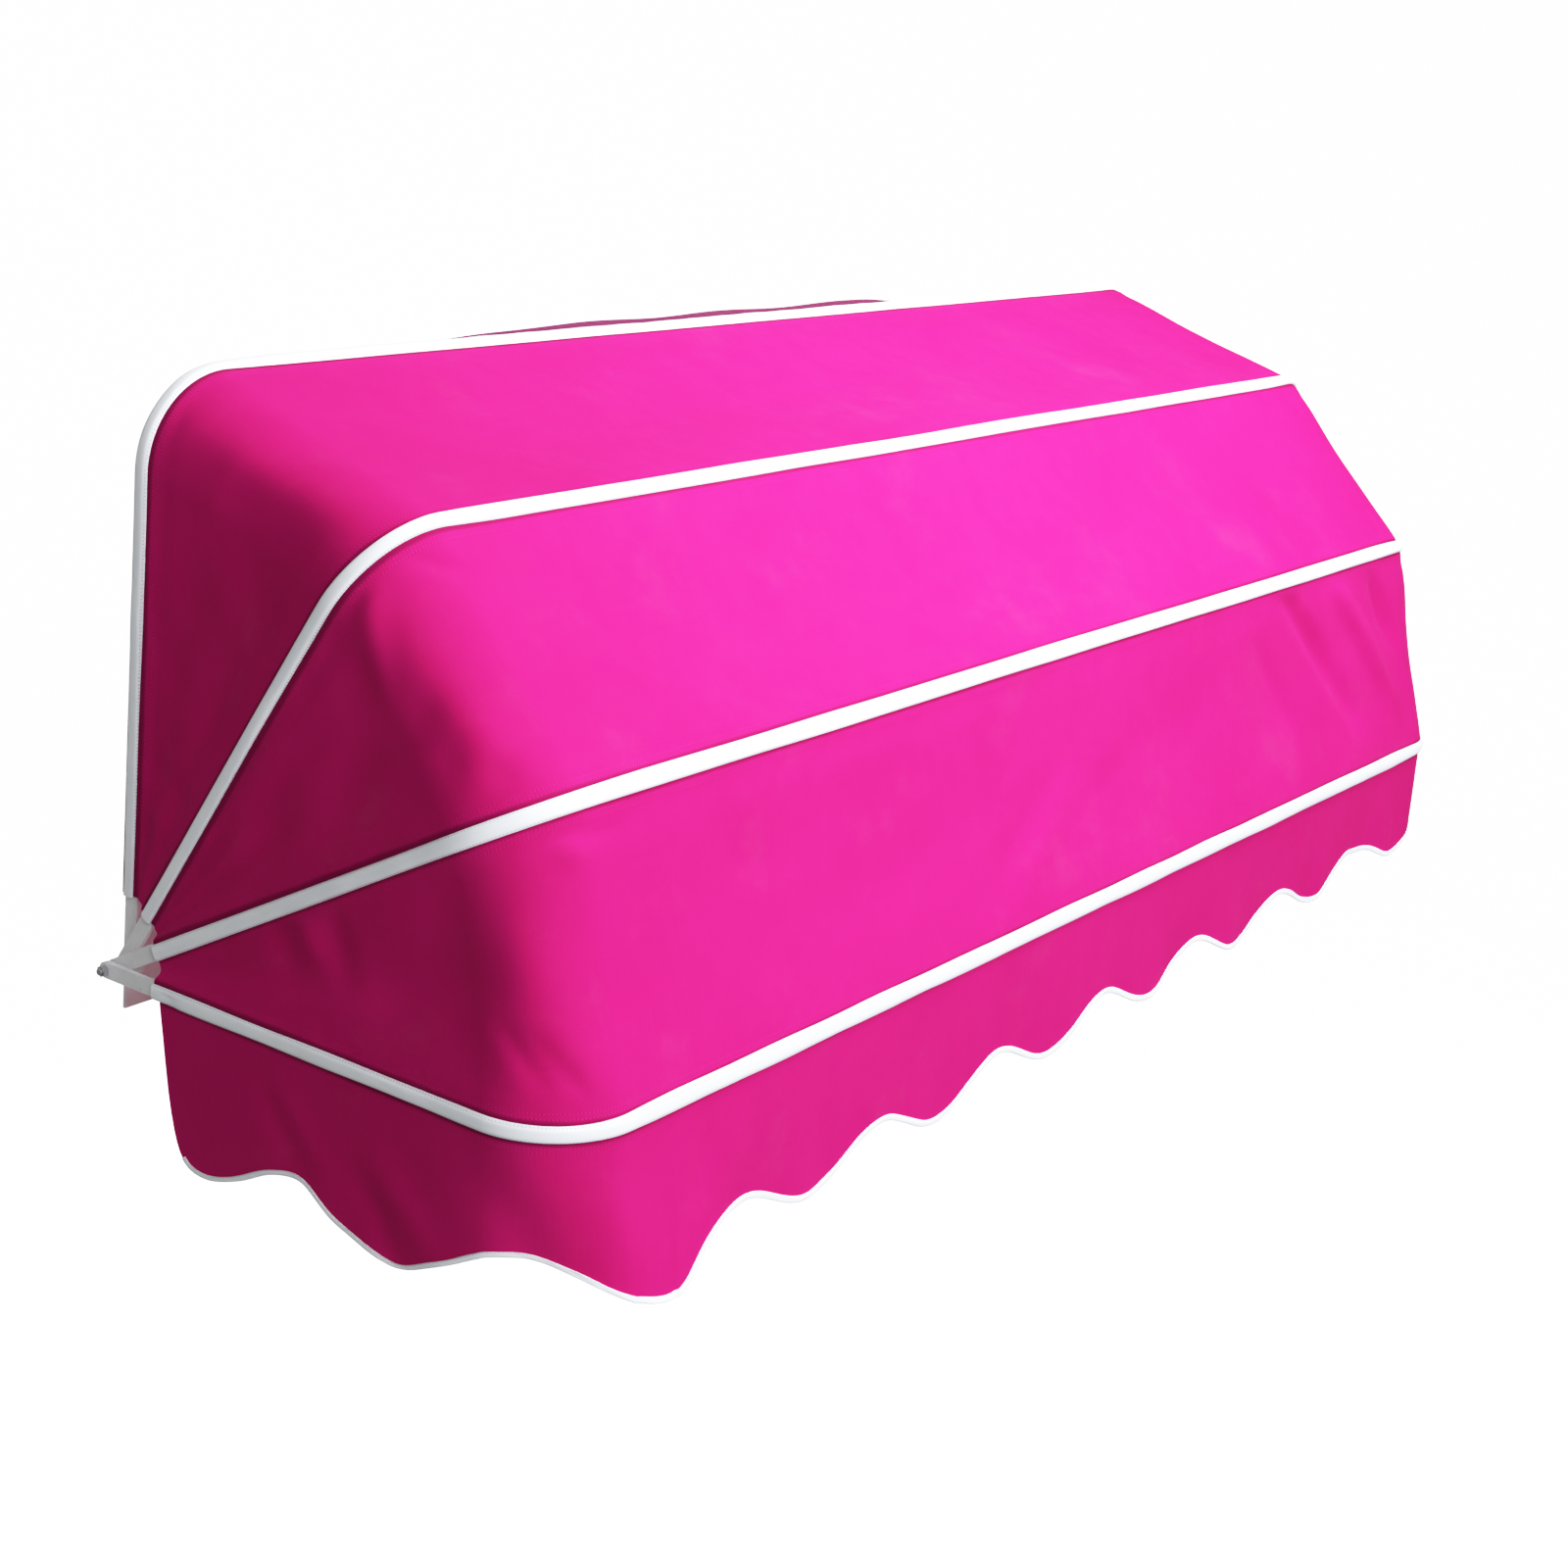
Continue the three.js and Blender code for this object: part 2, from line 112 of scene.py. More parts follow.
def place(u, v, w, angle):
    """Point of a hoop's own frame (across, outwards, swinging down) in the row frame."""
    u, v, w = np.broadcast_arrays(
        np.asarray(u, float), np.asarray(v, float), np.asarray(w, float)
    )
    return np.stack(
        [
            u,
            PIVOT_Y - math.sin(angle) * v - math.cos(angle) * w,
            math.cos(angle) * v - math.sin(angle) * w,
        ],
        -1,
    )


def hoop_path(i, inset, foot, legs, arcs, bars):
    """(across, outwards) from the left foot over the bar to the right foot, and the run along it."""
    h = half(i)
    v = np.linspace(foot, REACH - CORNER, legs, endpoint=False)
    leg = np.stack([np.full(legs, -(h - inset)), v], -1)
    a = np.linspace(0, math.pi / 2, arcs, endpoint=False)
    arc = np.stack(
        [
            -(h - CORNER) - (CORNER - inset) * np.cos(a),
            REACH - CORNER + (CORNER - inset) * np.sin(a),
        ],
        -1,
    )
    u = np.linspace(-(h - CORNER), h - CORNER, bars, endpoint=False)
    bar = np.stack([u, np.full(bars, REACH - inset)], -1)
    turn = np.array([[h - CORNER, REACH - inset]])
    other = np.concatenate([leg, arc])[::-1] * [-1, 1]
    line = np.concatenate([leg, arc, bar, turn, other])
    run = np.concatenate([[0], np.cumsum(np.linalg.norm(np.diff(line, axis=0), axis=1))])
    return line, run


def ripple(x, y, waves, count, seed):
    """Smooth uneven swell of about unit height; waves is the (shortest, longest) wave, across and along."""
    r = np.random.RandomState(seed)
    out = 0
    for _ in range(count):
        long = waves[0] * (waves[1] / waves[0]) ** r.rand()
        way = r.rand() * math.pi
        out = out + np.sin(
            2 * math.pi * (x * math.cos(way) + y * math.sin(way)) / long
            + r.rand() * 2 * math.pi
        )
    return out / math.sqrt(count)


def step(x, low, high):
    t = np.clip((x - low) / (high - low), 0, 1)
    return t * t * (3 - 2 * t)


def to_line(points, line):
    """Distance of each point from a line of points, and the share of the line's run at the nearest place."""
    line = np.asarray(line, float)
    if len(line) == 1:
        return np.linalg.norm(points - line[0], axis=-1), np.full(points.shape[:-1], 0.5)
    seg = np.diff(line, axis=0)
    long = np.linalg.norm(seg, axis=1)
    before = np.concatenate([[0], np.cumsum(long)])
    best = np.full(points.shape[:-1], 1e9)
    share = np.zeros(points.shape[:-1])
    for k in range(len(seg)):
        t = np.clip(((points - line[k]) @ seg[k]) / long[k] ** 2, 0, 1)
        d = np.linalg.norm(points - (line[k] + t[..., None] * seg[k]), axis=-1)
        near = d < best
        best = np.where(near, d, best)
        share = np.where(near, (before[k] + t * long[k]) / before[-1], share)
    return best, share


def folds(points, features, much=1.0):
    """Height of the ridges (+) and valleys (-) that lie along lines on the cloth, in metres."""
    out = np.zeros(points.shape[:-1])
    for height, width, line in features:
        d, share = to_line(points, line)
        ends = 1.0 if len(line) == 1 else 0.35 + 0.65 * np.sin(math.pi * share) ** 0.7
        out += height * 0.001 * np.exp(-((d / (width * 0.001)) ** 2)) * ends
    return out * much


def grid_normals(g):
    du = np.gradient(g, axis=0)
    dv = np.gradient(g, axis=1)
    n = np.cross(dv, du)
    return n / np.maximum(np.linalg.norm(n, axis=-1, keepdims=True), 1e-12)


# ---------------------------------------------------------------- meshes
def add_mesh(name, points, faces, uv, material, sharp=40):
    mesh = bpy.data.meshes.new(name)
    mesh.from_pydata(points.tolist(), [], faces.tolist())
    layer = mesh.uv_layers.new(name="run")
    loops = np.zeros(len(mesh.loops), np.int32)
    mesh.loops.foreach_get("vertex_index", loops)
    layer.data.foreach_set("uv", uv[loops].astype(np.float32).ravel())
    mesh.polygons.foreach_set("use_smooth", np.ones(len(mesh.polygons), bool))
    mesh.materials.append(material)
    mesh.update()
    mesh.set_sharp_from_angle(angle=math.radians(sharp))
    obj = bpy.data.objects.new(name, mesh)
    scene.collection.objects.link(obj)
    return obj


# distance of each point from the nearer hoop: the cloth material paints shade where it is small or below zero, and
# places its stitch rows at set distances
def set_shade_and_stitch_distance(obj, value):
    layer = obj.data.attributes.new("shade_and_stitch_distance", "FLOAT", "POINT")
    layer.data.foreach_set("value", value.astype(np.float32))


def quads(n, m, start=0, flip=False):
    i, j = np.meshgrid(np.arange(n - 1), np.arange(m - 1), indexing="ij")
    a = start + i * m + j
    f = np.stack([a, a + m, a + m + 1, a + 1], -1).reshape(-1, 4)
    return f[:, ::-1] if flip else f


def shell(name, g, uv, thick, material):
    """Closed thin sheet about a middle grid, outside first."""
    n, m = g.shape[:2]
    normal = grid_normals(g)
    points = np.concatenate(
        [(g + normal * thick / 2).reshape(-1, 3), (g - normal * thick / 2).reshape(-1, 3)]
    )
    back = n * m
    ring = np.concatenate(
        [
            np.arange(m - 1),
            (np.arange(n - 1)) * m + m - 1,
            (n - 1) * m + np.arange(m - 1, 0, -1),
            np.arange(n - 1, 0, -1) * m,
        ]
    )
    nxt = np.roll(ring, -1)
    rim = np.stack([ring, ring + back, nxt + back, nxt], -1)
    faces = np.concatenate([quads(n, m, 0, True), quads(n, m, back), rim[:, ::-1]])
    return add_mesh(
        name, points, faces, np.concatenate([uv.reshape(-1, 2)] * 2), material, 60
    )


def sweep(name, rings, uv, material, sharp=50):
    """Closed tube through rings of points, with flat ends."""
    n, m = rings.shape[:2]
    i, j = np.meshgrid(np.arange(n - 1), np.arange(m), indexing="ij")
    a, b = i * m + j, i * m + (j + 1) % m
    faces = np.stack([a, b, b + m, a + m], -1).reshape(-1, 4)
    middle = rings[[0, -1]].mean(1)
    points = np.concatenate([rings.reshape(-1, 3), middle])
    k = np.arange(m)
    first, last = n * m, n * m + 1
    caps = [[first, (x + 1) % m, x] for x in k] + [
        [last, (n - 1) * m + x, (n - 1) * m + (x + 1) % m] for x in k
    ]
    mesh_uv = np.concatenate([uv.reshape(-1, 2), uv[[0, -1]].mean(1)])
    mesh = bpy.data.meshes.new(name)
    mesh.from_pydata(points.tolist(), [], faces.tolist() + caps)
    layer = mesh.uv_layers.new(name="run")
    loops = np.zeros(len(mesh.loops), np.int32)
    mesh.loops.foreach_get("vertex_index", loops)
    layer.data.foreach_set("uv", mesh_uv[loops].astype(np.float32).ravel())
    mesh.polygons.foreach_set("use_smooth", np.ones(len(mesh.polygons), bool))
    mesh.materials.append(material)
    mesh.update()
    mesh.set_sharp_from_angle(angle=math.radians(sharp))
    obj = bpy.data.objects.new(name, mesh)
    scene.collection.objects.link(obj)
    return obj


# ---------------------------------------------------------------- materials
class Paint:
    def __init__(self, name):
        self.material = bpy.data.materials.new(name)
        self.material.use_nodes = True
        self.tree = self.material.node_tree
        self.shader = next(n for n in self.tree.nodes if n.type == "BSDF_PRINCIPLED")

    def node(self, kind, inputs=None, **settings):
        n = self.tree.nodes.new("ShaderNode" + kind)
        for key, value in settings.items():
            setattr(n, key, value)
        for key, value in (inputs or {}).items():
            if isinstance(value, bpy.types.NodeSocket):
                self.tree.links.new(value, n.inputs[key])
            else:
                n.inputs[key].default_value = value
        return n

    def math(self, operation, a, b=None, c=None, clamp=False):
        values = {k: x for k, x in enumerate((a, b, c)) if x is not None}
        return self.node("Math", values, operation=operation, use_clamp=clamp).outputs[0]

    def mix(self, share, a, b, blend_type="MIX"):
        n = self.tree.nodes.new("ShaderNodeMix")
        n.data_type, n.blend_type = "RGBA", blend_type
        for socket, value in ((n.inputs[0], share), (n.inputs[6], a), (n.inputs[7], b)):
            if isinstance(value, bpy.types.NodeSocket):
                self.tree.links.new(value, socket)
            else:
                socket.default_value = value
        return n.outputs[2]

    def noise(self, vector, scale, detail=3.0, rough=0.55, distortion=0.0):
        return self.node(
            "TexNoise",
            {
                "Vector": vector,
                "Scale": scale,
                "Detail": detail,
                "Roughness": rough,
                "Distortion": distortion,
            },
        ).outputs["Fac"]

    def ramp(self, value, low, high, to_low=0.0, to_high=1.0):
        return self.node(
            "MapRange",
            {0: value, 1: low, 2: high, 3: to_low, 4: to_high},
            interpolation_type="SMOOTHSTEP",
        ).outputs[0]

    def put(self, **sockets):
        for key, value in sockets.items():
            socket = self.shader.inputs[key.replace("_", " ")]
            if isinstance(value, bpy.types.NodeSocket):
                self.tree.links.new(value, socket)
            else:
                socket.default_value = value

    def bump(self, height, strength, distance):
        n = self.node("Bump", {"Height": height, "Strength": strength, "Distance": distance})
        self.tree.links.new(n.outputs[0], self.shader.inputs["Normal"])


def stretched(p, vector, x, y, z=1.0):
    return p.node("Mapping", {"Vector": vector, "Scale": (x, y, z)}).outputs[0]


def cloth_material():
    p = Paint("magenta_cloth")
    uv = p.node("UVMap", uv_map="run").outputs[0]
    xyz = p.node("SeparateXYZ", {0: uv})
    warp = p.math("PINGPONG", xyz.outputs[0], 0.0006)
    weft = p.math("PINGPONG", xyz.outputs[1], 0.0006)
    warp, weft = p.math("DIVIDE", warp, 0.0006), p.math("DIVIDE", weft, 0.0006)
    weave = p.math("MULTIPLY", p.math("ADD", warp, weft), 0.5)
    slub_a = p.noise(stretched(p, uv, 14, 900), 1.0, 2.0)
    slub_b = p.noise(stretched(p, uv, 900, 14), 1.0, 2.0)
    slub = p.math("MULTIPLY", p.math("ADD", slub_a, slub_b), 0.5)
    broad = p.noise(uv, 3.2, 3.0, 0.5, 0.6)
    cloud = p.noise(uv, 21.0, 4.0, 0.6)
    dust = p.ramp(p.noise(uv, 5.5, 6.0, 0.68), 0.53, 0.78)
    colour = p.mix(p.ramp(broad, 0.3, 0.7), (0.468, 0.0080, 0.128, 1), (0.518, 0.0114, 0.146, 1))
    colour = p.mix(p.ramp(cloud, 0.35, 0.7, 0.0, 0.5), colour, (0.495, 0.0104, 0.136, 1))
    colour = p.mix(p.ramp(slub, 0.36, 0.66, 0.0, 0.42), colour, (0.540, 0.0140, 0.159, 1))
    # painted shade: darker in the low points between the threads of the weave, where the bump height is lowest
    colour = p.mix(p.ramp(weave, 0.1, 0.75, 0.34, 0.0), colour, (0.387, 0.0036, 0.090, 1))
    colour = p.mix(p.math("MULTIPLY", dust, 0.05), colour, (0.62, 0.24, 0.34, 1))
    # painted shadow: the cloth is darkened in a band next to each trim and just below the front trim, where the trim
    # shades it
    shade_and_stitch_distance = p.node("Attribute", attribute_name="shade_and_stitch_distance").outputs["Fac"]
    shade_and_stitch_distance = p.math("ADD", shade_and_stitch_distance, p.math("MULTIPLY", p.math("SUBTRACT", cloud, 0.5), 0.004))
    colour = p.mix(p.ramp(shade_and_stitch_distance, 0.0115, 0.0175, 0.62, 0.0), colour, (0.105, 0.0022, 0.031, 1))
    # painted shade: where the distance is below zero (the hem turned up behind the wall trim) the cloth is painted
    # almost dark, as if in the trim's shadow
    edge = p.node("Attribute", attribute_name="shade_and_stitch_distance").outputs["Fac"]
    colour = p.mix(p.ramp(edge, -0.008, 0.0, 0.88, 0.0), colour, (0.125, 0.030, 0.070, 1))
    rows = [p.ramp(p.math("ABSOLUTE", p.math("SUBTRACT", edge, at)), 0.0003, 0.0009, 1.0, 0.0) for at in (0.0162, 0.0222)]
    dash = p.ramp(p.math("PINGPONG", xyz.outputs[0], 0.0022), 0.0004, 0.0009)
    row = p.math("MAXIMUM", rows[0], rows[1])
    thread = p.math("MULTIPLY", row, dash)
    stitch_dip = p.math("MULTIPLY", row, p.math("SUBTRACT", 1.0, dash))
    colour = p.mix(p.math("MULTIPLY", thread, 0.28), colour, (0.640, 0.030, 0.215, 1))
    # painted shade: the cloth is darker in the dips between the stitches, where the bump height is lowest
    colour = p.mix(p.math("MULTIPLY", stitch_dip, 0.55), colour, (0.200, 0.002, 0.045, 1))
    rough = p.ramp(p.math("ADD", p.math("MULTIPLY", cloud, 0.6), p.math("MULTIPLY", slub, 0.4)), 0.3, 0.7, 0.74, 0.9)
    height = p.math(
        "ADD",
        p.math("MULTIPLY", weave, 0.55),
        p.math("ADD", p.math("MULTIPLY", slub, 0.5), p.math("ADD", p.math("MULTIPLY", cloud, 0.9), p.math("SUBTRACT", thread, stitch_dip))),
    )
    p.put(Base_Color=colour, Roughness=rough, Sheen_Weight=0.02, Sheen_Roughness=0.45, Sheen_Tint=(1.0, 0.45, 0.75, 1), Specular_IOR_Level=0.08)
    p.bump(height, 0.32, 0.0006)
    return p.material


def tape_material(name, half_width, stitch_at):
    p = Paint(name)
    uv = p.node("UVMap", uv_map="run").outputs[0]
    xyz = p.node("SeparateXYZ", {0: uv})
    along, across = xyz.outputs[0], p.math("ABSOLUTE", xyz.outputs[1])
    off = p.math("ABSOLUTE", p.math("SUBTRACT", across, stitch_at))
    row = p.ramp(off, 0.0003, 0.0009, 1.0, 0.0)
    dash = p.ramp(p.math("PINGPONG", along, 0.0021), 0.0004, 0.0009)
    stitch = p.math("MULTIPLY", row, dash)
    stitch_dip = p.math("MULTIPLY", row, p.math("SUBTRACT", 1.0, dash))
    rib = p.math("DIVIDE", p.math("PINGPONG", along, 0.00035), 0.00035)
    rib2 = p.math("DIVIDE", p.math("PINGPONG", xyz.outputs[1], 0.0005), 0.0005)
    mottle = p.noise(stretched(p, uv, 16, 90), 1.0, 4.0, 0.6)
    grime = p.ramp(p.noise(stretched(p, uv, 7, 40), 1.0, 6.0, 0.7, 0.4), 0.5, 0.74)
    edge = p.ramp(across, half_width * 0.70, half_width * 1.0)
    colour = p.mix(p.ramp(mottle, 0.3, 0.72), (0.870, 0.915, 0.940, 1), (0.925, 0.950, 0.965, 1))
    colour = p.mix(p.math("MULTIPLY", grime, 0.11), colour, (0.54, 0.52, 0.50, 1))
    # painted shade: the tape is darker towards both edges, where the domed band turns away from the light and meets the
    # cloth
    colour = p.mix(p.math("MULTIPLY", edge, 0.45), colour, (0.50, 0.45, 0.48, 1))
    colour = p.mix(p.math("MULTIPLY", stitch, 0.35), colour, (0.70, 0.72, 0.73, 1))
    # painted shade: the tape is darker in the dips between the stitches, where the bump height is lowest
    colour = p.mix(p.math("MULTIPLY", stitch_dip, 0.55), colour, (0.34, 0.33, 0.34, 1))
    height = p.math(
        "ADD",
        p.math("MULTIPLY", p.math("ADD", rib, rib2), 0.16),
        p.math("ADD", p.math("SUBTRACT", stitch, stitch_dip), p.math("MULTIPLY", mottle, 0.9)),
    )
    p.put(Base_Color=colour, Roughness=p.ramp(mottle, 0.3, 0.7, 0.5, 0.72), Sheen_Weight=0.06, Specular_IOR_Level=0.3)
    p.bump(height, 0.45, 0.0005)
    return p.material


def metal_material(name, dark, light, rough, grain, stain, metallic=1.0, bump=0.12):
    p = Paint(name)
    here = p.node("TexCoord").outputs["Object"]
    brushed = p.noise(stretched(p, here, *grain), 1.0, 3.0, 0.6)
    cloud = p.noise(here, 34.0, 5.0, 0.62, 0.3)
    spots = p.ramp(p.noise(here, 150.0, 3.0, 0.6), 0.60, 0.74)
    colour = p.mix(p.ramp(p.math("ADD", p.math("MULTIPLY", brushed, 0.6), p.math("MULTIPLY", cloud, 0.4)), 0.32, 0.68), dark, light)
    colour = p.mix(p.math("MULTIPLY", p.ramp(cloud, 0.52, 0.74), 0.4), colour, stain)
    colour = p.mix(p.math("MULTIPLY", spots, 0.25), colour, stain)
    p.put(Base_Color=colour, Metallic=metallic, Roughness=p.ramp(p.math("ADD", p.math("MULTIPLY", brushed, 0.5), p.math("MULTIPLY", cloud, 0.5)), 0.3, 0.7, rough[0], rough[1]))
    p.bump(p.math("ADD", brushed, p.math("MULTIPLY", cloud, 0.6)), bump, 0.0004)
    return p.material


def coat_material(name, dark, light, worn, rough, peel, bump):
    p = Paint(name)
    here = p.node("TexCoord").outputs["Object"]
    cloud = p.noise(here, 22.0, 5.0, 0.6, 0.4)
    orange = p.noise(here, peel, 2.0, 0.5)
    chips = p.ramp(p.noise(here, 75.0, 6.0, 0.7), 0.64, 0.70)
    colour = p.mix(p.ramp(cloud, 0.32, 0.68), dark, light)
    colour = p.mix(p.math("MULTIPLY", p.ramp(cloud, 0.56, 0.76), 0.35), colour, worn)
    colour = p.mix(p.math("MULTIPLY", chips, 0.5), colour, worn)
    p.put(Base_Color=colour, Roughness=p.ramp(cloud, 0.3, 0.7, rough[0], rough[1]), Specular_IOR_Level=0.45)
    p.bump(p.math("SUBTRACT", orange, p.math("MULTIPLY", chips, 0.5)), bump, 0.0005)
    return p.material


CLOTH = cloth_material()
TAPE = tape_material("white_trim_tape", 0.011, 0.0084)
BINDING = tape_material("white_binding_tape", 0.0095, 0.0078)
FRAME_COAT = coat_material("white_frame_coat", (0.79, 0.80, 0.80, 1), (0.87, 0.88, 0.88, 1), (0.56, 0.56, 0.56, 1), (0.36, 0.54), 540.0, 0.14)
CAST_COAT = coat_material("white_cast_coat", (0.73, 0.74, 0.74, 1), (0.82, 0.83, 0.83, 1), (0.48, 0.48, 0.48, 1), (0.44, 0.62), 300.0, 0.30)
STEEL = metal_material("zinc_plated_steel", (0.44, 0.45, 0.47, 1), (0.64, 0.65, 0.66, 1), (0.28, 0.46), (90, 90, 90), (0.46, 0.42, 0.34, 1), metallic=0.9)
PAINT = coat_material("white_powder_coat", (0.78, 0.79, 0.79, 1), (0.87, 0.88, 0.87, 1), (0.50, 0.50, 0.49, 1), (0.34, 0.52), 620.0, 0.16)
NYLON = coat_material("nylon", (0.66, 0.66, 0.63, 1), (0.78, 0.78, 0.75, 1), (0.50, 0.49, 0.45, 1), (0.42, 0.60), 380.0, 0.10)

def finish_of(name):
    """Material, record slot and edge radius of a CAD piece; soft pieces have no edge radius."""
    if name.startswith("canopy") or name == "valance":
        return CLOTH, "canopy_cloth", None
    if name.endswith("_trim"):
        return TAPE, "white_tape", None
    if name == "valance_binding":
        return BINDING, "white_tape", None
    if "_arm_" in name or name.endswith("_bar"):
        return FRAME_COAT, "aluminium_bar", 0.0007
    if "_corner_" in name:
        return CAST_COAT, "cast_corner", 0.0008
    if name.startswith(("wall_bracket", "wall_clip", "pulley_block")):
        return PAINT, "white_paint", 0.0008
    if name.startswith(("pulley_wheel", "pivot_spacer")):
        return NYLON, "nylon", 0.0004
    return STEEL, "plated_steel", 0.0003


def ease(name, node, material, radius):
    """Copy of a hard CAD piece with its sharp edges eased and its round faces smooth."""
    bm = bmesh.new()
    bm.from_mesh(node.data)
    bmesh.ops.remove_doubles(bm, verts=bm.verts[:], dist=2e-6)
    bmesh.ops.dissolve_limit(bm, angle_limit=math.radians(0.6), verts=bm.verts[:], edges=bm.edges[:])
    sharp = [
        e for e in bm.edges
        if len(e.link_faces) == 2 and e.calc_face_angle() > math.radians(48) and e.calc_length() > 2.4 * radius
    ]
    if sharp:
        bmesh.ops.bevel(bm, geom=sharp, offset=radius, offset_type="OFFSET", segments=2, profile=0.5, affect="EDGES", clamp_overlap=True)
    bmesh.ops.triangulate(bm, faces=[f for f in bm.faces if len(f.verts) > 4])
    mesh = bpy.data.meshes.new("eased_" + name)
    bm.to_mesh(mesh)
    bm.free()
    mesh.polygons.foreach_set("use_smooth", np.ones(len(mesh.polygons), bool))
    mesh.materials.append(material)
    mesh.update()
    mesh.set_sharp_from_angle(angle=math.radians(48))
    obj = bpy.data.objects.new("eased_" + name, mesh)
    scene.collection.objects.link(obj)
    # large flat faces keep their own normal beside the eased edges
    even = obj.modifiers.new("even", "WEIGHTED_NORMAL")
    even.keep_sharp, even.weight = True, 80
    bpy.context.view_layer.update()
    done = bpy.data.meshes.new_from_object(obj.evaluated_get(bpy.context.evaluated_depsgraph_get()))
    obj.modifiers.clear()
    obj.data = done
    bpy.data.meshes.remove(mesh)
    return obj


for name, node in nodes.items():
    paint, slot, radius = finish_of(name)
    node.data.materials.clear()
    node.data.materials.append(paint)
    if radius:
        piece = ease(name, node, paint, radius)
        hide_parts(name)
        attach(piece, body_of(node)[0])


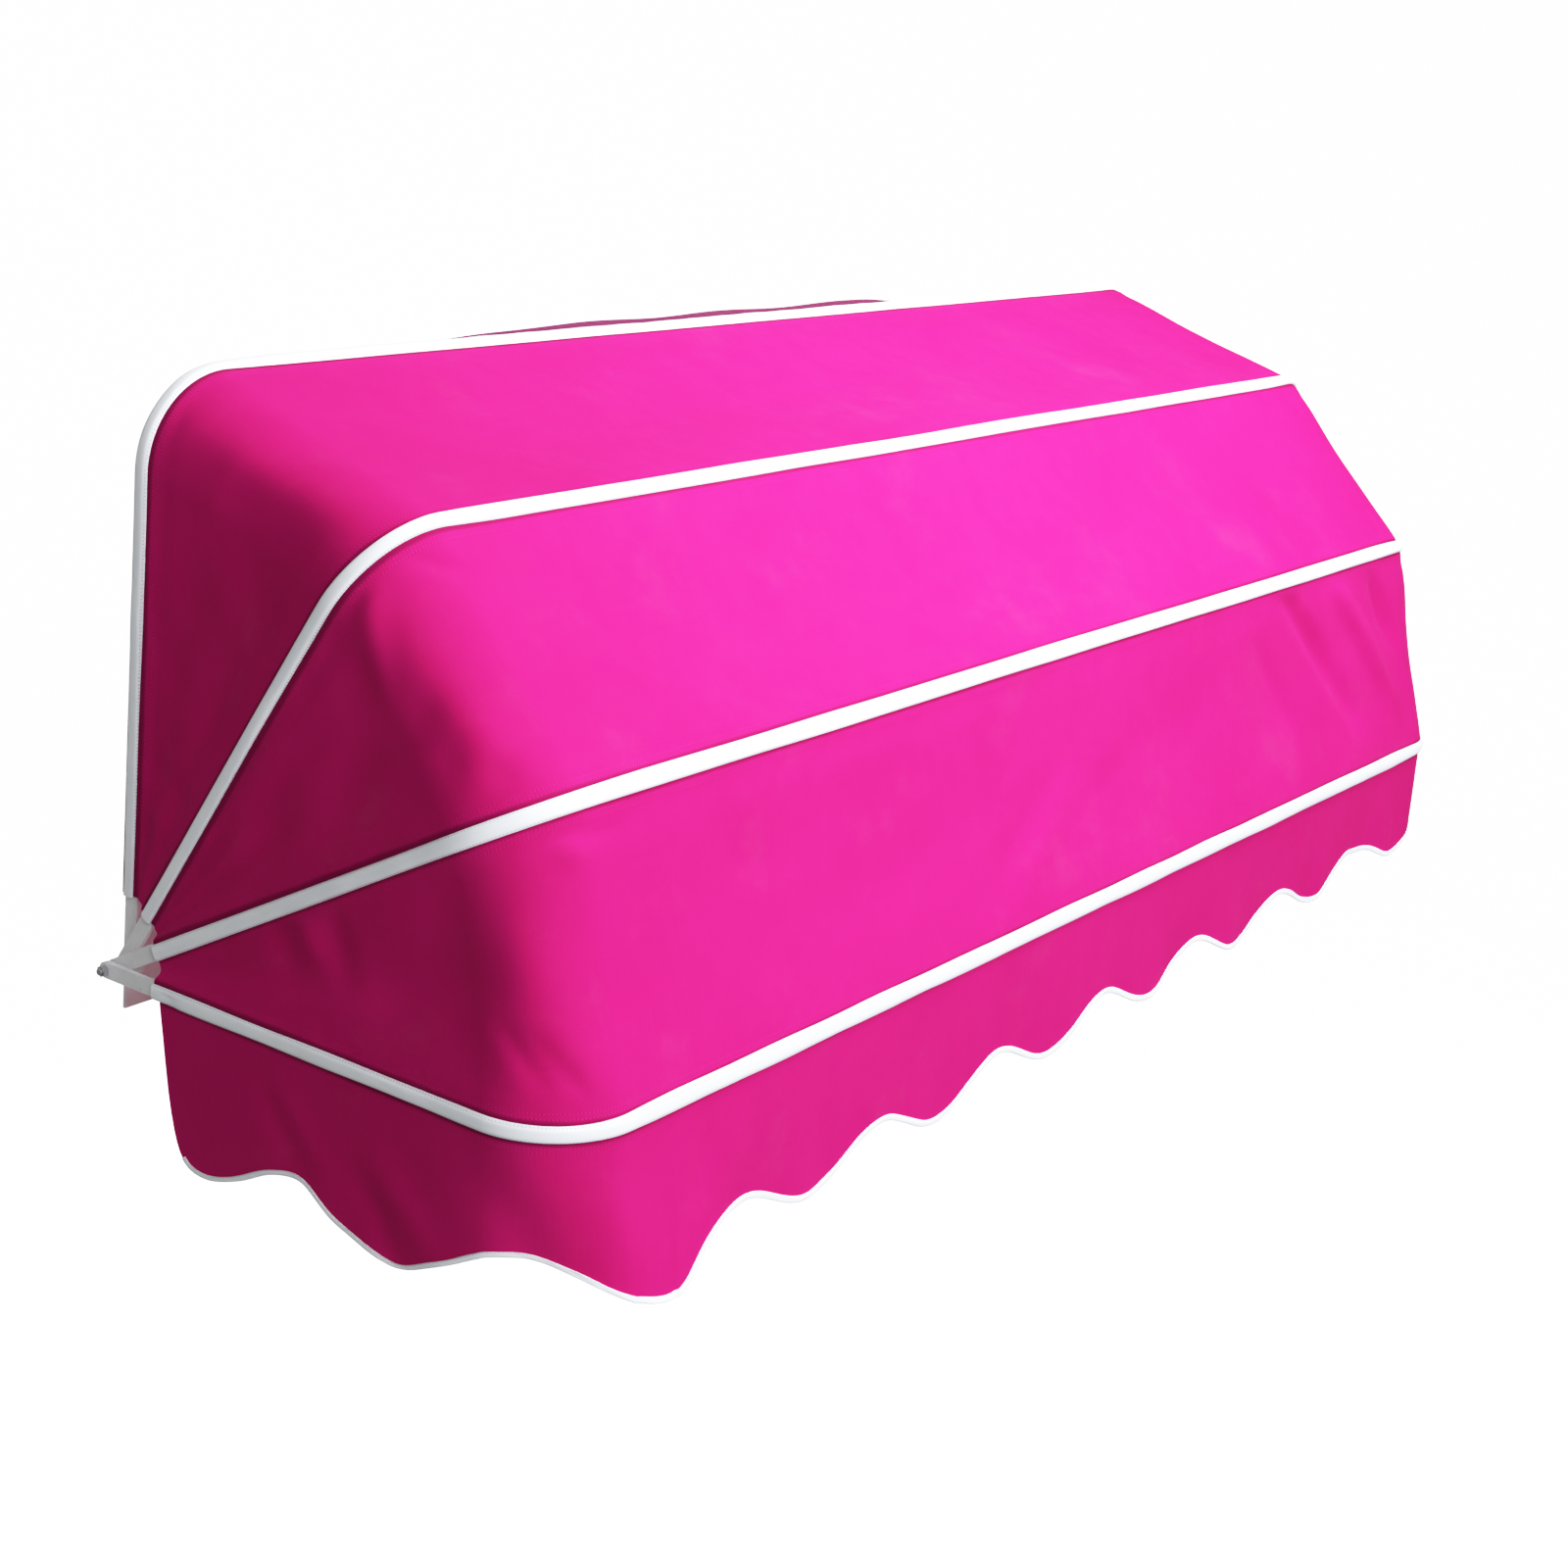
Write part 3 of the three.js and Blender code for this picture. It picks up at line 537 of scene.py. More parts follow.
# ---------------------------------------------------------------- the three canopy panels
# Ridges and valleys of the stretched cloth: (height mm, width mm, line on the cloth).
WRINKLES = [
    [
        (2.6, 34, [(-1.123, -0.076, 0.644), (-1.124, -0.198, 0.614), (-1.114, -0.306, 0.598)]),
        (-3.2, 58, [(-1.143, -0.133, 0.600), (-1.148, -0.206, 0.575), (-1.154, -0.280, 0.545)]),
        (1.6, 30, [(-1.149, -0.052, 0.351), (-1.155, -0.130, 0.305)]),
        (1.2, 16, [(-1.150, -0.036, 0.200), (-1.151, -0.090, 0.188)]),
        (-1.3, 18, [(-1.150, -0.040, 0.250), (-1.151, -0.110, 0.228)]),
        (2.2, 36, [(1.123, -0.080, 0.640), (1.120, -0.200, 0.612), (1.112, -0.300, 0.596)]),
        (-2.8, 54, [(1.143, -0.120, 0.598), (1.149, -0.215, 0.570), (1.154, -0.285, 0.540)]),
        (1.4, 26, [(1.149, -0.060, 0.330), (1.154, -0.140, 0.296)]),
    ],
    [
        (3.2, 19, [(-1.139, -0.359, 0.552), (-1.154, -0.378, 0.497), (-1.162, -0.401, 0.443)]),
        (-2.2, 12, [(-1.119, -0.370, 0.570), (-1.092, -0.399, 0.566), (-1.055, -0.423, 0.553)]),
        (-1.5, 25, [(-1.155, -0.462, 0.427)]),
        (1.9, 25, [(-1.132, -0.521, 0.416)]),
        (-1.3, 22, [(-1.158, -0.504, 0.384)]),
        (-1.5, 18, [(-1.134, -0.558, 0.379)]),
        (2.4, 38, [(-1.137, -0.377, 0.539), (-1.142, -0.455, 0.462), (-1.136, -0.537, 0.395), (-1.127, -0.585, 0.361)]),
        (2.6, 24, [(-1.160, -0.183, 0.238), (-1.160, -0.279, 0.388)]),
        (-2.6, 22, [(-1.160, -0.215, 0.226), (-1.160, -0.330, 0.350)]),
        (-1.2, 18, [(0.601, -0.459, 0.517), (0.619, -0.540, 0.437)]),
        (-1.6, 18, [(0.767, -0.484, 0.492), (0.832, -0.593, 0.384)]),
        (-1.1, 18, [(0.391, -0.481, 0.495), (0.423, -0.582, 0.395)]),
        (-1.5, 14, [(0.470, -0.452, 0.524), (0.520, -0.520, 0.456)]),
        (1.3, 16, [(0.690, -0.470, 0.506), (0.742, -0.566, 0.411)]),
        (-1.4, 13, [(0.880, -0.455, 0.521), (0.935, -0.530, 0.447)]),
        (1.3, 15, [(0.905, -0.520, 0.457), (0.960, -0.600, 0.378)]),
        (3.4, 20, [(1.140, -0.362, 0.548), (1.153, -0.386, 0.490), (1.160, -0.412, 0.430)]),
        (2.8, 34, [(1.137, -0.380, 0.535), (1.141, -0.462, 0.455), (1.134, -0.545, 0.388)]),
        (-2.4, 24, [(1.156, -0.470, 0.420)]),
        (-1.6, 20, [(1.160, -0.210, 0.230), (1.160, -0.320, 0.360)]),
    ],
    [
        (-2.3, 40, [(-1.172, -0.530, 0.272), (-1.176, -0.520, 0.169), (-1.180, -0.564, 0.101), (-1.180, -0.611, 0.067)]),
        (3.0, 38, [(-1.121, -0.616, 0.301), (-1.149, -0.617, 0.222), (-1.145, -0.655, 0.141), (-1.108, -0.700, 0.062)]),
        (2.2, 20, [(-1.095, -0.627, 0.307)]),
        (-1.6, 10, [(-1.108, -0.616, 0.328), (-1.016, -0.629, 0.317)]),
        (-2.2, 14, [(-1.172, -0.613, 0.124), (-1.152, -0.665, 0.072)]),
        (-2.0, 12, [(-1.157, -0.643, 0.122), (-1.122, -0.692, 0.063)]),
        (2.7, 19, [(-1.171, -0.315, 0.165), (-1.176, -0.347, 0.112)]),
        (-2.7, 19, [(-1.171, -0.280, 0.144), (-1.176, -0.302, 0.098)]),
        (-2.2, 20, [(-1.172, -0.362, 0.174), (-1.178, -0.392, 0.100)]),
        (-8.5, 22, [(0.621, -0.622, 0.341), (0.730, -0.650, 0.247), (0.855, -0.690, 0.111)]),
        (8.0, 20, [(0.818, -0.627, 0.325), (0.912, -0.653, 0.235), (1.008, -0.688, 0.119)]),
        (-8.0, 16, [(0.955, -0.628, 0.321), (1.035, -0.664, 0.200)]),
        (-3.0, 18, [(0.516, -0.641, 0.278), (0.626, -0.681, 0.142)]),
        (-2.0, 32, [(-0.321, -0.698, 0.084), (-0.183, -0.673, 0.169), (-0.076, -0.660, 0.212)]),
        (2.0, 32, [(-0.245, -0.702, 0.072), (-0.107, -0.673, 0.169), (0.030, -0.663, 0.204)]),
        (-1.3, 42, [(-0.167, -0.622, 0.341), (-0.182, -0.648, 0.255)]),
        (1.3, 42, [(0.030, -0.632, 0.309), (0.046, -0.667, 0.189)]),
        (-1.3, 36, [(-0.879, -0.629, 0.317), (-0.791, -0.660, 0.212)]),
        (-4.0, 30, [(1.172, -0.535, 0.265), (1.177, -0.530, 0.165), (1.180, -0.580, 0.095)]),
        (3.6, 30, [(1.121, -0.616, 0.301), (1.149, -0.617, 0.222), (1.150, -0.650, 0.130)]),
        (2.0, 16, [(1.171, -0.320, 0.160), (1.176, -0.350, 0.108)]),
    ],
]
PANELS = ["canopy_upper", "canopy_middle", "canopy_lower"]
LEGS, ARCS, BARS = 62, 34, 150


def panel(i):
    foot = 0.086
    a, run_a = hoop_path(i, 0.0030, foot, LEGS, ARCS, BARS)
    b, run_b = hoop_path(i + 1, 0.0030, foot, LEGS, ARCS, BARS)
    ta, tb = ANGLES[i], ANGLES[i + 1]
    run = (run_a + run_b) / 2
    # the free edge by the pivot is cut a little hollow between the hoops
    lap, free = np.linspace(0, 1, 5), np.linspace(0, 1, 53)
    free = free + 0.06 * np.sin(2 * math.pi * free) / (2 * math.pi) * -1
    hollow = np.concatenate([np.zeros(4), np.sin(math.pi * free), np.zeros(4)])
    near_foot = np.exp(-((a[:, 1] - foot) / 0.035)) * (np.abs(a[:, 0]) > half(i) - 0.02)
    drop = 0.004 * near_foot[:, None] * hollow[None, :]
    first = place(a[:, :1], a[:, 1:], LAP * lap[None, :-1], ta)
    start = place(a[:, :1], a[:, 1:], np.full((1, 1), LAP), ta)
    end = place(b[:, :1], b[:, 1:], np.full((1, 1), -LAP), tb)
    last = place(b[:, :1], b[:, 1:], -LAP * lap[None, ::-1][:, 1:], tb)
    chord = start + (end - start) * free[None, :, None]
    g = np.concatenate([first, chord, last], 1)
    angle = np.arctan2(-(g[..., 1] - PIVOT_Y), g[..., 2])
    g[..., 1] -= np.sin(angle) * drop
    g[..., 2] += np.cos(angle) * drop
    base = g.copy()
    for _ in range(6):
        g[:, 2:-2] = 0.5 * g[:, 2:-2] + 0.25 * (g[:, 1:-3] + g[:, 3:-1])
    normal = grid_normals(g)
    span = np.linalg.norm(end - start, axis=-1)
    tau = np.concatenate([np.zeros(4), free, np.ones(4)])[None, :]
    v, u = a[:, 1], np.abs(a[:, 0])
    side = step(u, half(i) - CORNER, half(i) - 0.01) * (1 - step(v, 0.57, 0.69))
    roof = 1 - step(u, half(i) - 0.30, half(i) - 0.08)
    depth = 0.0035 + 0.0060 * roof + 0.0085 * side * np.clip(v / 0.5, 0, 1.1)
    depth = depth * np.clip(span[:, 0] / 0.2, 0.12, 1)
    hold = np.sin(math.pi * tau) ** 1.3
    across = tau * span
    x = run[:, None] - run.mean()
    swell = ripple(x, across, (0.22, 0.60), 7, 11 + i) * 0.0015
    swell = swell + ripple(x * 0.45, across, (0.10, 0.22), 6, 31 + i) * 0.00075
    # pull lines that fan out from the pivot on the two sides
    way = np.arctan2(-(g[..., 1] - PIVOT_Y), g[..., 2])
    fan = ripple(way * 0.5, np.zeros_like(way), (0.06, 0.20), 4, 51 + i) * 0.0016 * side[:, None]
    # the sides are a little slack
    fan = fan + ripple(x * 0.8, across, (0.085, 0.26), 9, 41 + i) * 0.0016 * side[:, None] * np.clip(span / 0.15, 0, 1)
    puckers = ripple(x, np.zeros_like(x), (0.035, 0.11), 8, 71 + i) * 0.00055
    puckers = puckers * (np.exp(-across / 0.018) + np.exp(-(span - across) / 0.018))
    lift = -depth[:, None] * hold + (swell + fan) * hold + folds(g, WRINKLES[i], 1.7) * np.minimum(1, 3.5 * np.sin(math.pi * tau))
    lift = lift + puckers * np.minimum(1, 12 * np.sin(math.pi * tau))
    lift = lift - 0.0034 * np.exp(-(((across - 0.008) / 0.019) ** 2)) * np.minimum(1, 8 * tau) * np.clip(span / 0.2, 0.2, 1)
    lift = lift - 0.0010 * np.exp(-(((span - across - 0.005) / 0.010) ** 2)) * np.minimum(1, 8 * (1 - tau)) * np.clip(span / 0.2, 0.2, 1)
    # the nearest ends of the cloth stay on the hoops
    g = g + normal * lift[..., None]
    uv = np.stack([np.broadcast_to(run[:, None], lift.shape), np.broadcast_to(np.concatenate([[0], np.cumsum(np.linalg.norm(np.diff(base[len(base) // 2], axis=0), axis=1))])[None, :], lift.shape)], -1)
    if i == 0:
        # the rear hem turns up behind the trim of the wall hoop
        bar = (1 - step(u, half(0) - 0.25, half(0) - 0.10))[:, None]
        wave = 0.5 + 0.5 * ripple(x, np.zeros_like(x), (0.12, 0.5), 5, 91)
        up = (0.0098 + 0.0040 * np.clip(wave, 0, 1.2)) * bar * step(x, -0.80, -0.46) * (1 - step(x, 0.28, 0.46))
        hem = []
        for w, share in ((-0.0126, 1.0), (-0.0122, 0.45), (-0.0116, 0.0), (-0.0070, 0.0)):
            p = place(a[:, :1], a[:, 1:], np.full((1, 1), w), ta)
            p = p + np.array([0, 0, 1.0]) * ((up + 0.0030 * bar) * share)[..., None]
            hem.append(p)
        g = np.concatenate(hem + [g], 1)
        uv = np.concatenate([np.stack([run, np.full_like(run, w)], -1)[:, None] for w in (-0.018, -0.015, -0.012, -0.007)] + [uv], 1)
    obj = shell("cloth_" + PANELS[i], g, uv, CLOTH_T, CLOTH)
    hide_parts(PANELS[i])
    mid = len(a) // 2
    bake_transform(obj, BODIES[i], BODIES[i + 1], start=tuple(g[mid, 4]), end=tuple(g[mid, -4]))
    # each point turns about the pivot line by its share of the angle between its two hoops
    co = np.zeros(len(obj.data.vertices) * 3)
    obj.data.vertices.foreach_get("co", co)
    co = co.reshape(-1, 3)
    radius = np.hypot(co[:, 1] - PIVOT_Y, co[:, 2])
    turned = np.arctan2(-(co[:, 1] - PIVOT_Y), co[:, 2])
    kept = np.minimum(0.0122 / radius, 0.42 * (tb - ta))
    share = np.clip((turned - ta - kept) / (tb - ta - 2 * kept), 0, 1)
    # distance from the nearer hoop: the cloth material paints shade beside the trims from it and places the stitch rows
    shade_and_stitch_distance = radius * np.minimum(np.abs(np.sin(turned - ta)), np.abs(np.sin(tb - turned)))
    if i == 0:
        # the hem turned up behind the wall trim is marked below zero, so that the cloth material paints it in shade
        shade_and_stitch_distance = np.where((co[:, 2] > REACH - 0.0015) & (co[:, 1] > -0.0075), -0.010, shade_and_stitch_distance)
    set_shade_and_stitch_distance(obj, shade_and_stitch_distance)
    obj.data.attributes["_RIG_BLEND"].data.foreach_set("value", share.astype(np.float32))
    return obj


cloths = [panel(i) for i in range(3)]


# ---------------------------------------------------------------- the trims over the hoops
def trim(i):
    line, run = hoop_path(i, 0.0, 0.084, 80, 44, 240)
    tangent = np.gradient(line, run, axis=0)
    tangent /= np.linalg.norm(tangent, axis=1, keepdims=True)
    out = np.stack([-tangent[:, 1], tangent[:, 0]], -1)
    bar = 1 - step(np.abs(line[:, 0]), half(i) - CORNER - 0.10, half(i) - 0.02)
    low = 1 - step(line[:, 1], 0.10, 0.50)
    half_w = 0.0110 + 0.0003 * ripple(run, 0 * run, (0.10, 0.7), 5, 101 + i)
    wander = 0.0006 * ripple(run, 0 * run, (0.25, 1.1), 4, 121 + i)
    crown = 0.0030 + 0.0004 * ripple(run, 0 * run, (0.05, 0.4), 6, 141 + i)
    # pressed flat near the pivot, where the next arm passes over it when the hoops fold together
    flat = (1 - bar) * (1 - step(line[:, 1], 0.26, 0.44))
    crown = crown + (0.0006 + 0.10 * (crown - 0.0030) - crown) * flat
    if i == 0:
        # full and round along the top, drawn towards the wall on the legs
        crown = crown + 0.0048 * bar
        half_w = half_w - (0.0012 + 0.0018 * low) * (1 - bar)
        wander = wander - (0.0010 + 0.0018 * low) * (1 - bar)
    else:
        narrow, shift = ((0.0022, -0.0014), (0.0013, 0.0012), (0.0011, 0.0))[i - 1]
        half_w = half_w - narrow * (1 - bar) + 0.0016 * bar * (i == 3)
        wander = wander + shift * (1 - bar)
    ends = np.exp(-run / 0.010) + np.exp(-(run[-1] - run) / 0.010)
    k = np.linspace(-1, 1, 17)
    dome = (1 - np.abs(k) ** 2.6)[None, :]
    w = half_w[:, None] * np.sin(k * math.pi / 2 * 0.98)[None, :] + wander[:, None]
    height = -0.0020 + (crown[:, None] + 0.0020) * dome + 0.0002 * ends[:, None]
    # the sewn edges sit in a shallow furrow
    furrow = np.exp(-(((np.abs(w - wander[:, None]) - 0.0084) / 0.0011) ** 2)) * 0.00035
    height = height - furrow
    if i == 3:
        # a small dent near the left end of the front trim
        height = height - 0.0016 * np.exp(-(((run - 0.030) / 0.010) ** 2))[:, None] * (w > -0.002)
    under_w = np.stack([half_w * 0.96, half_w * 0.4, -half_w * 0.4, -half_w * 0.96], -1) + wander[:, None]
    under_h = np.full((len(run), 4), -0.0023)
    w, height = np.concatenate([w, under_w], 1), np.concatenate([height, under_h], 1)
    u = line[:, :1] + out[:, :1] * height
    v = line[:, 1:] + out[:, 1:] * height
    rings = place(u, v, w, ANGLES[i])
    uv = np.stack([np.broadcast_to(run[:, None], w.shape), w - wander[:, None]], -1)
    obj = sweep("trim_" + HOOPS[i], rings, uv, TAPE)
    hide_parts(HOOPS[i] + "_trim")
    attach(obj, BODIES[i])
    return obj


trims = [trim(i) for i in range(4)]


# ---------------------------------------------------------------- rivets that hold the corners to the arms
def rivets(i):
    """Domed heads on the inner face of the corner tongues, two on each side of a hoop."""
    profile = np.array([(0.0, 0.0019), (0.0014, 0.0018), (0.0026, 0.0014), (0.0034, 0.0008), (0.0038, 0.0002), (0.0040, -0.0002), (0.0, -0.0002)])
    turn = np.linspace(0, 2 * math.pi, 20, endpoint=False)
    points, faces = [], []
    for sign in (-1, 1):
        for v in (0.5465, 0.5735):
            first = len(points)
            for radius, high in profile[1:-1]:
                for a in turn:
                    u = sign * (half(i) - 0.0046 - 0.0123 - high)
                    points.append(place(u, v + radius * math.cos(a), radius * math.sin(a), ANGLES[i]))
            for high in (profile[0, 1], profile[-1, 1]):
                points.append(place(sign * (half(i) - 0.0046 - 0.0123 - high), v, 0.0, ANGLES[i]))
            top, low, rings = first + 100, first + 101, len(profile) - 2
            for j in range(20):
                k = (j + 1) % 20
                loop = [[top, first + j, first + k]]
                loop += [[first + r * 20 + j, first + (r + 1) * 20 + j, first + (r + 1) * 20 + k, first + r * 20 + k] for r in range(rings - 1)]
                loop += [[low, first + (rings - 1) * 20 + k, first + (rings - 1) * 20 + j]]
                faces += loop if sign < 0 else [f[::-1] for f in loop]
    mesh = bpy.data.meshes.new("rivets_" + HOOPS[i])
    mesh.from_pydata([tuple(p) for p in points], [], faces)
    mesh.polygons.foreach_set("use_smooth", np.ones(len(mesh.polygons), bool))
    mesh.materials.append(STEEL)
    mesh.update()
    mesh.set_sharp_from_angle(angle=math.radians(50))
    obj = bpy.data.objects.new("rivets_" + HOOPS[i], mesh)
    scene.collection.objects.link(obj)
    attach(obj, BODIES[i])


for i in range(4):
    rivets(i)


# ---------------------------------------------------------------- the valance and its binding
VAL_INSET = 0.0030
TILT = ANGLES[3]
# (distance along the hem from the middle, left negative; depth) of the scalloped edge
HEM = [
    (-1.7350, 0.0140), (-1.7325, 0.0400), (-1.7290, 0.0620), (-1.7255, 0.0900), (-1.7205, 0.1250),
    (-1.7140, 0.1560), (-1.7065, 0.1750), (-1.6960, 0.1890), (-1.6820, 0.1970), (-1.6650, 0.2000),
    (-1.6460, 0.1985), (-1.6270, 0.1925), (-1.6080, 0.1855), (-1.5890, 0.1765), (-1.5700, 0.1650),
    (-1.5520, 0.1565), (-1.5330, 0.1512), (-1.5150, 0.1478), (-1.4960, 0.1500), (-1.4770, 0.1620),
    (-1.4590, 0.1755), (-1.4400, 0.1840), (-1.4220, 0.1897), (-1.4040, 0.1948), (-1.3860, 0.1995),
    (-1.3680, 0.2040), (-1.3550, 0.2048), (-1.3380, 0.2000), (-1.3180, 0.1900), (-1.3020, 0.1820),
    (-1.2820, 0.1730), (-1.2620, 0.1620), (-1.2400, 0.1500), (-1.2200, 0.1460), (-1.1990, 0.1435),
    (-1.1790, 0.1450), (-1.1590, 0.1510), (-1.1390, 0.1600), (-1.1190, 0.1700), (-1.0990, 0.1810),
    (-1.0790, 0.1920), (-1.0590, 0.2005), (-1.0380, 0.2085), (-1.0180, 0.2145), (-0.9980, 0.2165),
    (-0.9780, 0.2105), (-0.9580, 0.1990), (-0.9380, 0.1860), (-0.9180, 0.1760), (-0.8980, 0.1690),
    (-0.8780, 0.1650), (-0.8580, 0.1650),
]


def hem_depth(x):
    """Depth of the valance's lower edge at a distance along the hem from the middle."""
    left = np.array(HEM)
    slope = 0.020 * x
    t = (np.abs(x) / 0.284) % 1.0
    front = 0.1445 + 0.0485 * (0.5 - 0.5 * np.cos(2 * math.pi * t)) ** 0.92 - slope
    a = np.interp(x, left[:, 0], left[:, 1])
    right = left.copy()
    right[:, 1] -= 0.026 + 0.024 * np.exp(-(((right[:, 0] + 1.0) / 0.10) ** 2))
    right[:7, 1] = left[:7, 1] - 0.006
    b = np.interp(-x, right[:, 0], right[:, 1])
    k_left, k_right = step(-x, 0.835, 0.870), step(x, 0.835, 0.870)
    return front * (1 - k_left) * (1 - k_right) + a * k_left + b * k_right


def smooth_line(y, passes):
    for _ in range(passes):
        y = np.concatenate([y[:1], 0.25 * y[:-2] + 0.5 * y[1:-1] + 0.25 * y[2:], y[-1:]])
    return y


line, run = hoop_path(3, VAL_INSET, 0.096, 96, 52, 320)
hem_x = run - run[-1] / 2
depth = smooth_line(hem_depth(hem_x), 6)
depth = depth + 0.0080 * step(depth, 0.05, 0.13)
VAL_FOLDS = [
    (-1.7, 19, [(-1.184, -0.283, -0.053), (-1.184, -0.316, -0.090), (-1.184, -0.349, -0.123)]),
    (1.6, 22, [(-1.184, -0.312, -0.050), (-1.184, -0.345, -0.085), (-1.184, -0.378, -0.120)]),
    (-3.6, 20, [(-1.184, -0.437, -0.110), (-1.184, -0.471, -0.147), (-1.184, -0.496, -0.190)]),
    (2.8, 25, [(-1.184, -0.469, -0.087), (-1.184, -0.510, -0.123), (-1.184, -0.544, -0.160)]),
    (-3.6, 18, [(1.184, -0.300, -0.060), (1.184, -0.335, -0.110), (1.184, -0.350, -0.150)]),
    (3.0, 20, [(1.184, -0.450, -0.090), (1.184, -0.490, -0.140), (1.184, -0.500, -0.180)]),
    (-4.0, 40, [(-1.182, -0.612, -0.030), (-1.170, -0.650, -0.100), (-1.155, -0.672, -0.170)]),
    (2.0, 30, [(-1.101, -0.714, -0.044), (-1.075, -0.736, -0.149)]),
    (-2.2, 26, [(-0.930, -0.714, -0.020), (-0.955, -0.717, -0.120)]),
    (2.2, 26, [(-0.870, -0.714, -0.020), (-0.880, -0.717, -0.130)]),
]


def bend_shift():
    """Shift of the hem below the left bend: the side runs on past the hoop's bend and turns nearer the front."""
    hoop = np.interp(hem_x, [-1.2464, -1.072], [0, math.pi / 2])
    hang = np.interp(hem_x, [-1.300, -1.235, -1.120, -1.060, -1.020], np.radians([0, 26, 34, 92, 90]))
    hang = smooth_line(hang, 8)
    away = [np.concatenate([[0], np.cumsum((f(hang) - f(hoop))[:-1] * np.diff(run))]) for f in (np.sin, np.cos)]
    away = np.stack(away, -1)
    last = away[np.argmin(np.abs(hem_x + 0.9))]
    return (away - last * step(hem_x, -1.06, -0.78)[:, None]) * (hem_x < -0.78)[:, None]


SHIFT = bend_shift()
SHIFT = SHIFT + 0.25 * SHIFT[::-1] * [-1, 1]


def valance_grid(rows):
    """Middle surface of the hanging cloth: rows is the share of the depth, 0 at the hoop."""
    w = 0.0003 + (depth[:, None] - 0.0003) * rows[None, :]
    tangent = np.gradient(line, run, axis=0)
    tangent /= np.linalg.norm(tangent, axis=1, keepdims=True)
    out = np.stack([-tangent[:, 1], tangent[:, 0]], -1)
    x = hem_x[:, None]
    low = np.clip(w / 0.2, 0, 1.25)
    free = low ** 1.35
    lift = ripple(x, w * 0.25, (0.13, 0.42), 7, 201) * 0.0032 * free
    lift = lift + ripple(x, w * 0.4, (0.06, 0.13), 5, 221) * 0.0009 * free
    # each tongue between two notches bows a little
    tongue = np.cos(2 * math.pi * np.abs(x) / 0.284)
    lift = lift + (-0.0022 * tongue * low ** 2) * (np.abs(x) < 1.0)
    u = line[:, :1] + SHIFT[:, :1] * free + out[:, :1] * lift
    v = line[:, 1:] + SHIFT[:, 1:] * free + out[:, 1:] * lift
    g = place(u, v, w, TILT)
    n = np.stack([out[:, 0], -out[:, 1] * math.sin(TILT), out[:, 1] * math.cos(TILT)], -1)
    return g + n[:, None] * (folds(g, VAL_FOLDS, 1.5) * np.minimum(1, w / 0.03))[..., None]


rows = np.concatenate([[0, 0.02, 0.05], np.linspace(0.085, 1, 34)])
grid = valance_grid(rows)
uv = np.stack([np.broadcast_to(run[:, None], grid.shape[:2]), depth[:, None] * rows[None, :]], -1)
valance = shell("cloth_valance", grid, uv, CLOTH_T, CLOTH)
co = np.array([v.co for v in valance.data.vertices])
# depth below the front hoop: the cloth material paints shade in the band just below the front trim and places the
# stitch rows from it
set_shade_and_stitch_distance(valance, -(co[:, 1] - PIVOT_Y) * math.cos(TILT) - co[:, 2] * math.sin(TILT))
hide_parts("valance")
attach(valance, "front_hoop")


def binding_rings():
    """White tape folded over the scalloped edge."""
    edge, above = grid[:, -1], grid[:, -4]
    along = np.gradient(edge, axis=0)
    along /= np.linalg.norm(along, axis=1, keepdims=True)
    up = above - edge
    up -= (up * along).sum(1, keepdims=True) * along
    up /= np.linalg.norm(up, axis=1, keepdims=True)
    out = np.cross(along, up)
    wide = 0.0058 + 0.0020 * (1 - step(np.abs(hem_x), 0.95, 1.12)) + 0.0005 * ripple(hem_x, 0 * hem_x, (0.06, 0.5), 6, 241)
    rings, across = [], []
    profile = [
        (0.0009, 1.00), (0.0019, 0.93), (0.0022, 0.72), (0.0021, 0.45), (0.0020, 0.20), (0.0018, 0.02),
        (0.0012, -0.13), (0.0000, -0.19), (-0.0012, -0.13),
        (-0.0018, 0.02), (-0.0020, 0.20), (-0.0021, 0.45), (-0.0022, 0.72), (-0.0019, 0.93), (-0.0009, 1.00),
    ]
    for o, b in profile:
        puff = 1 + 0.10 * ripple(hem_x, 0 * hem_x + b, (0.02, 0.12), 6, 261)
        rings.append(edge + out * o * puff[:, None] + up * (wide * b)[:, None])
        across.append(np.full(len(edge), math.copysign(max(b, 0.0) * 0.0088 + abs(o) * 0.1, o)))
    return np.stack(rings, 1), np.stack(across, 1)


rings, across = binding_rings()
hemmed = np.abs(hem_x) < 1.700
rings, across = rings[hemmed], across[hemmed]
edge_run = np.concatenate([[0], np.cumsum(np.linalg.norm(np.diff(grid[hemmed, -1], axis=0), axis=1))])
binding = sweep("binding_valance", rings, np.stack([np.broadcast_to(edge_run[:, None], across.shape), across], -1), BINDING, 70)
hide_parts("valance_binding")
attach(binding, "front_hoop")
for soft in (valance, binding):
    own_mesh(soft)

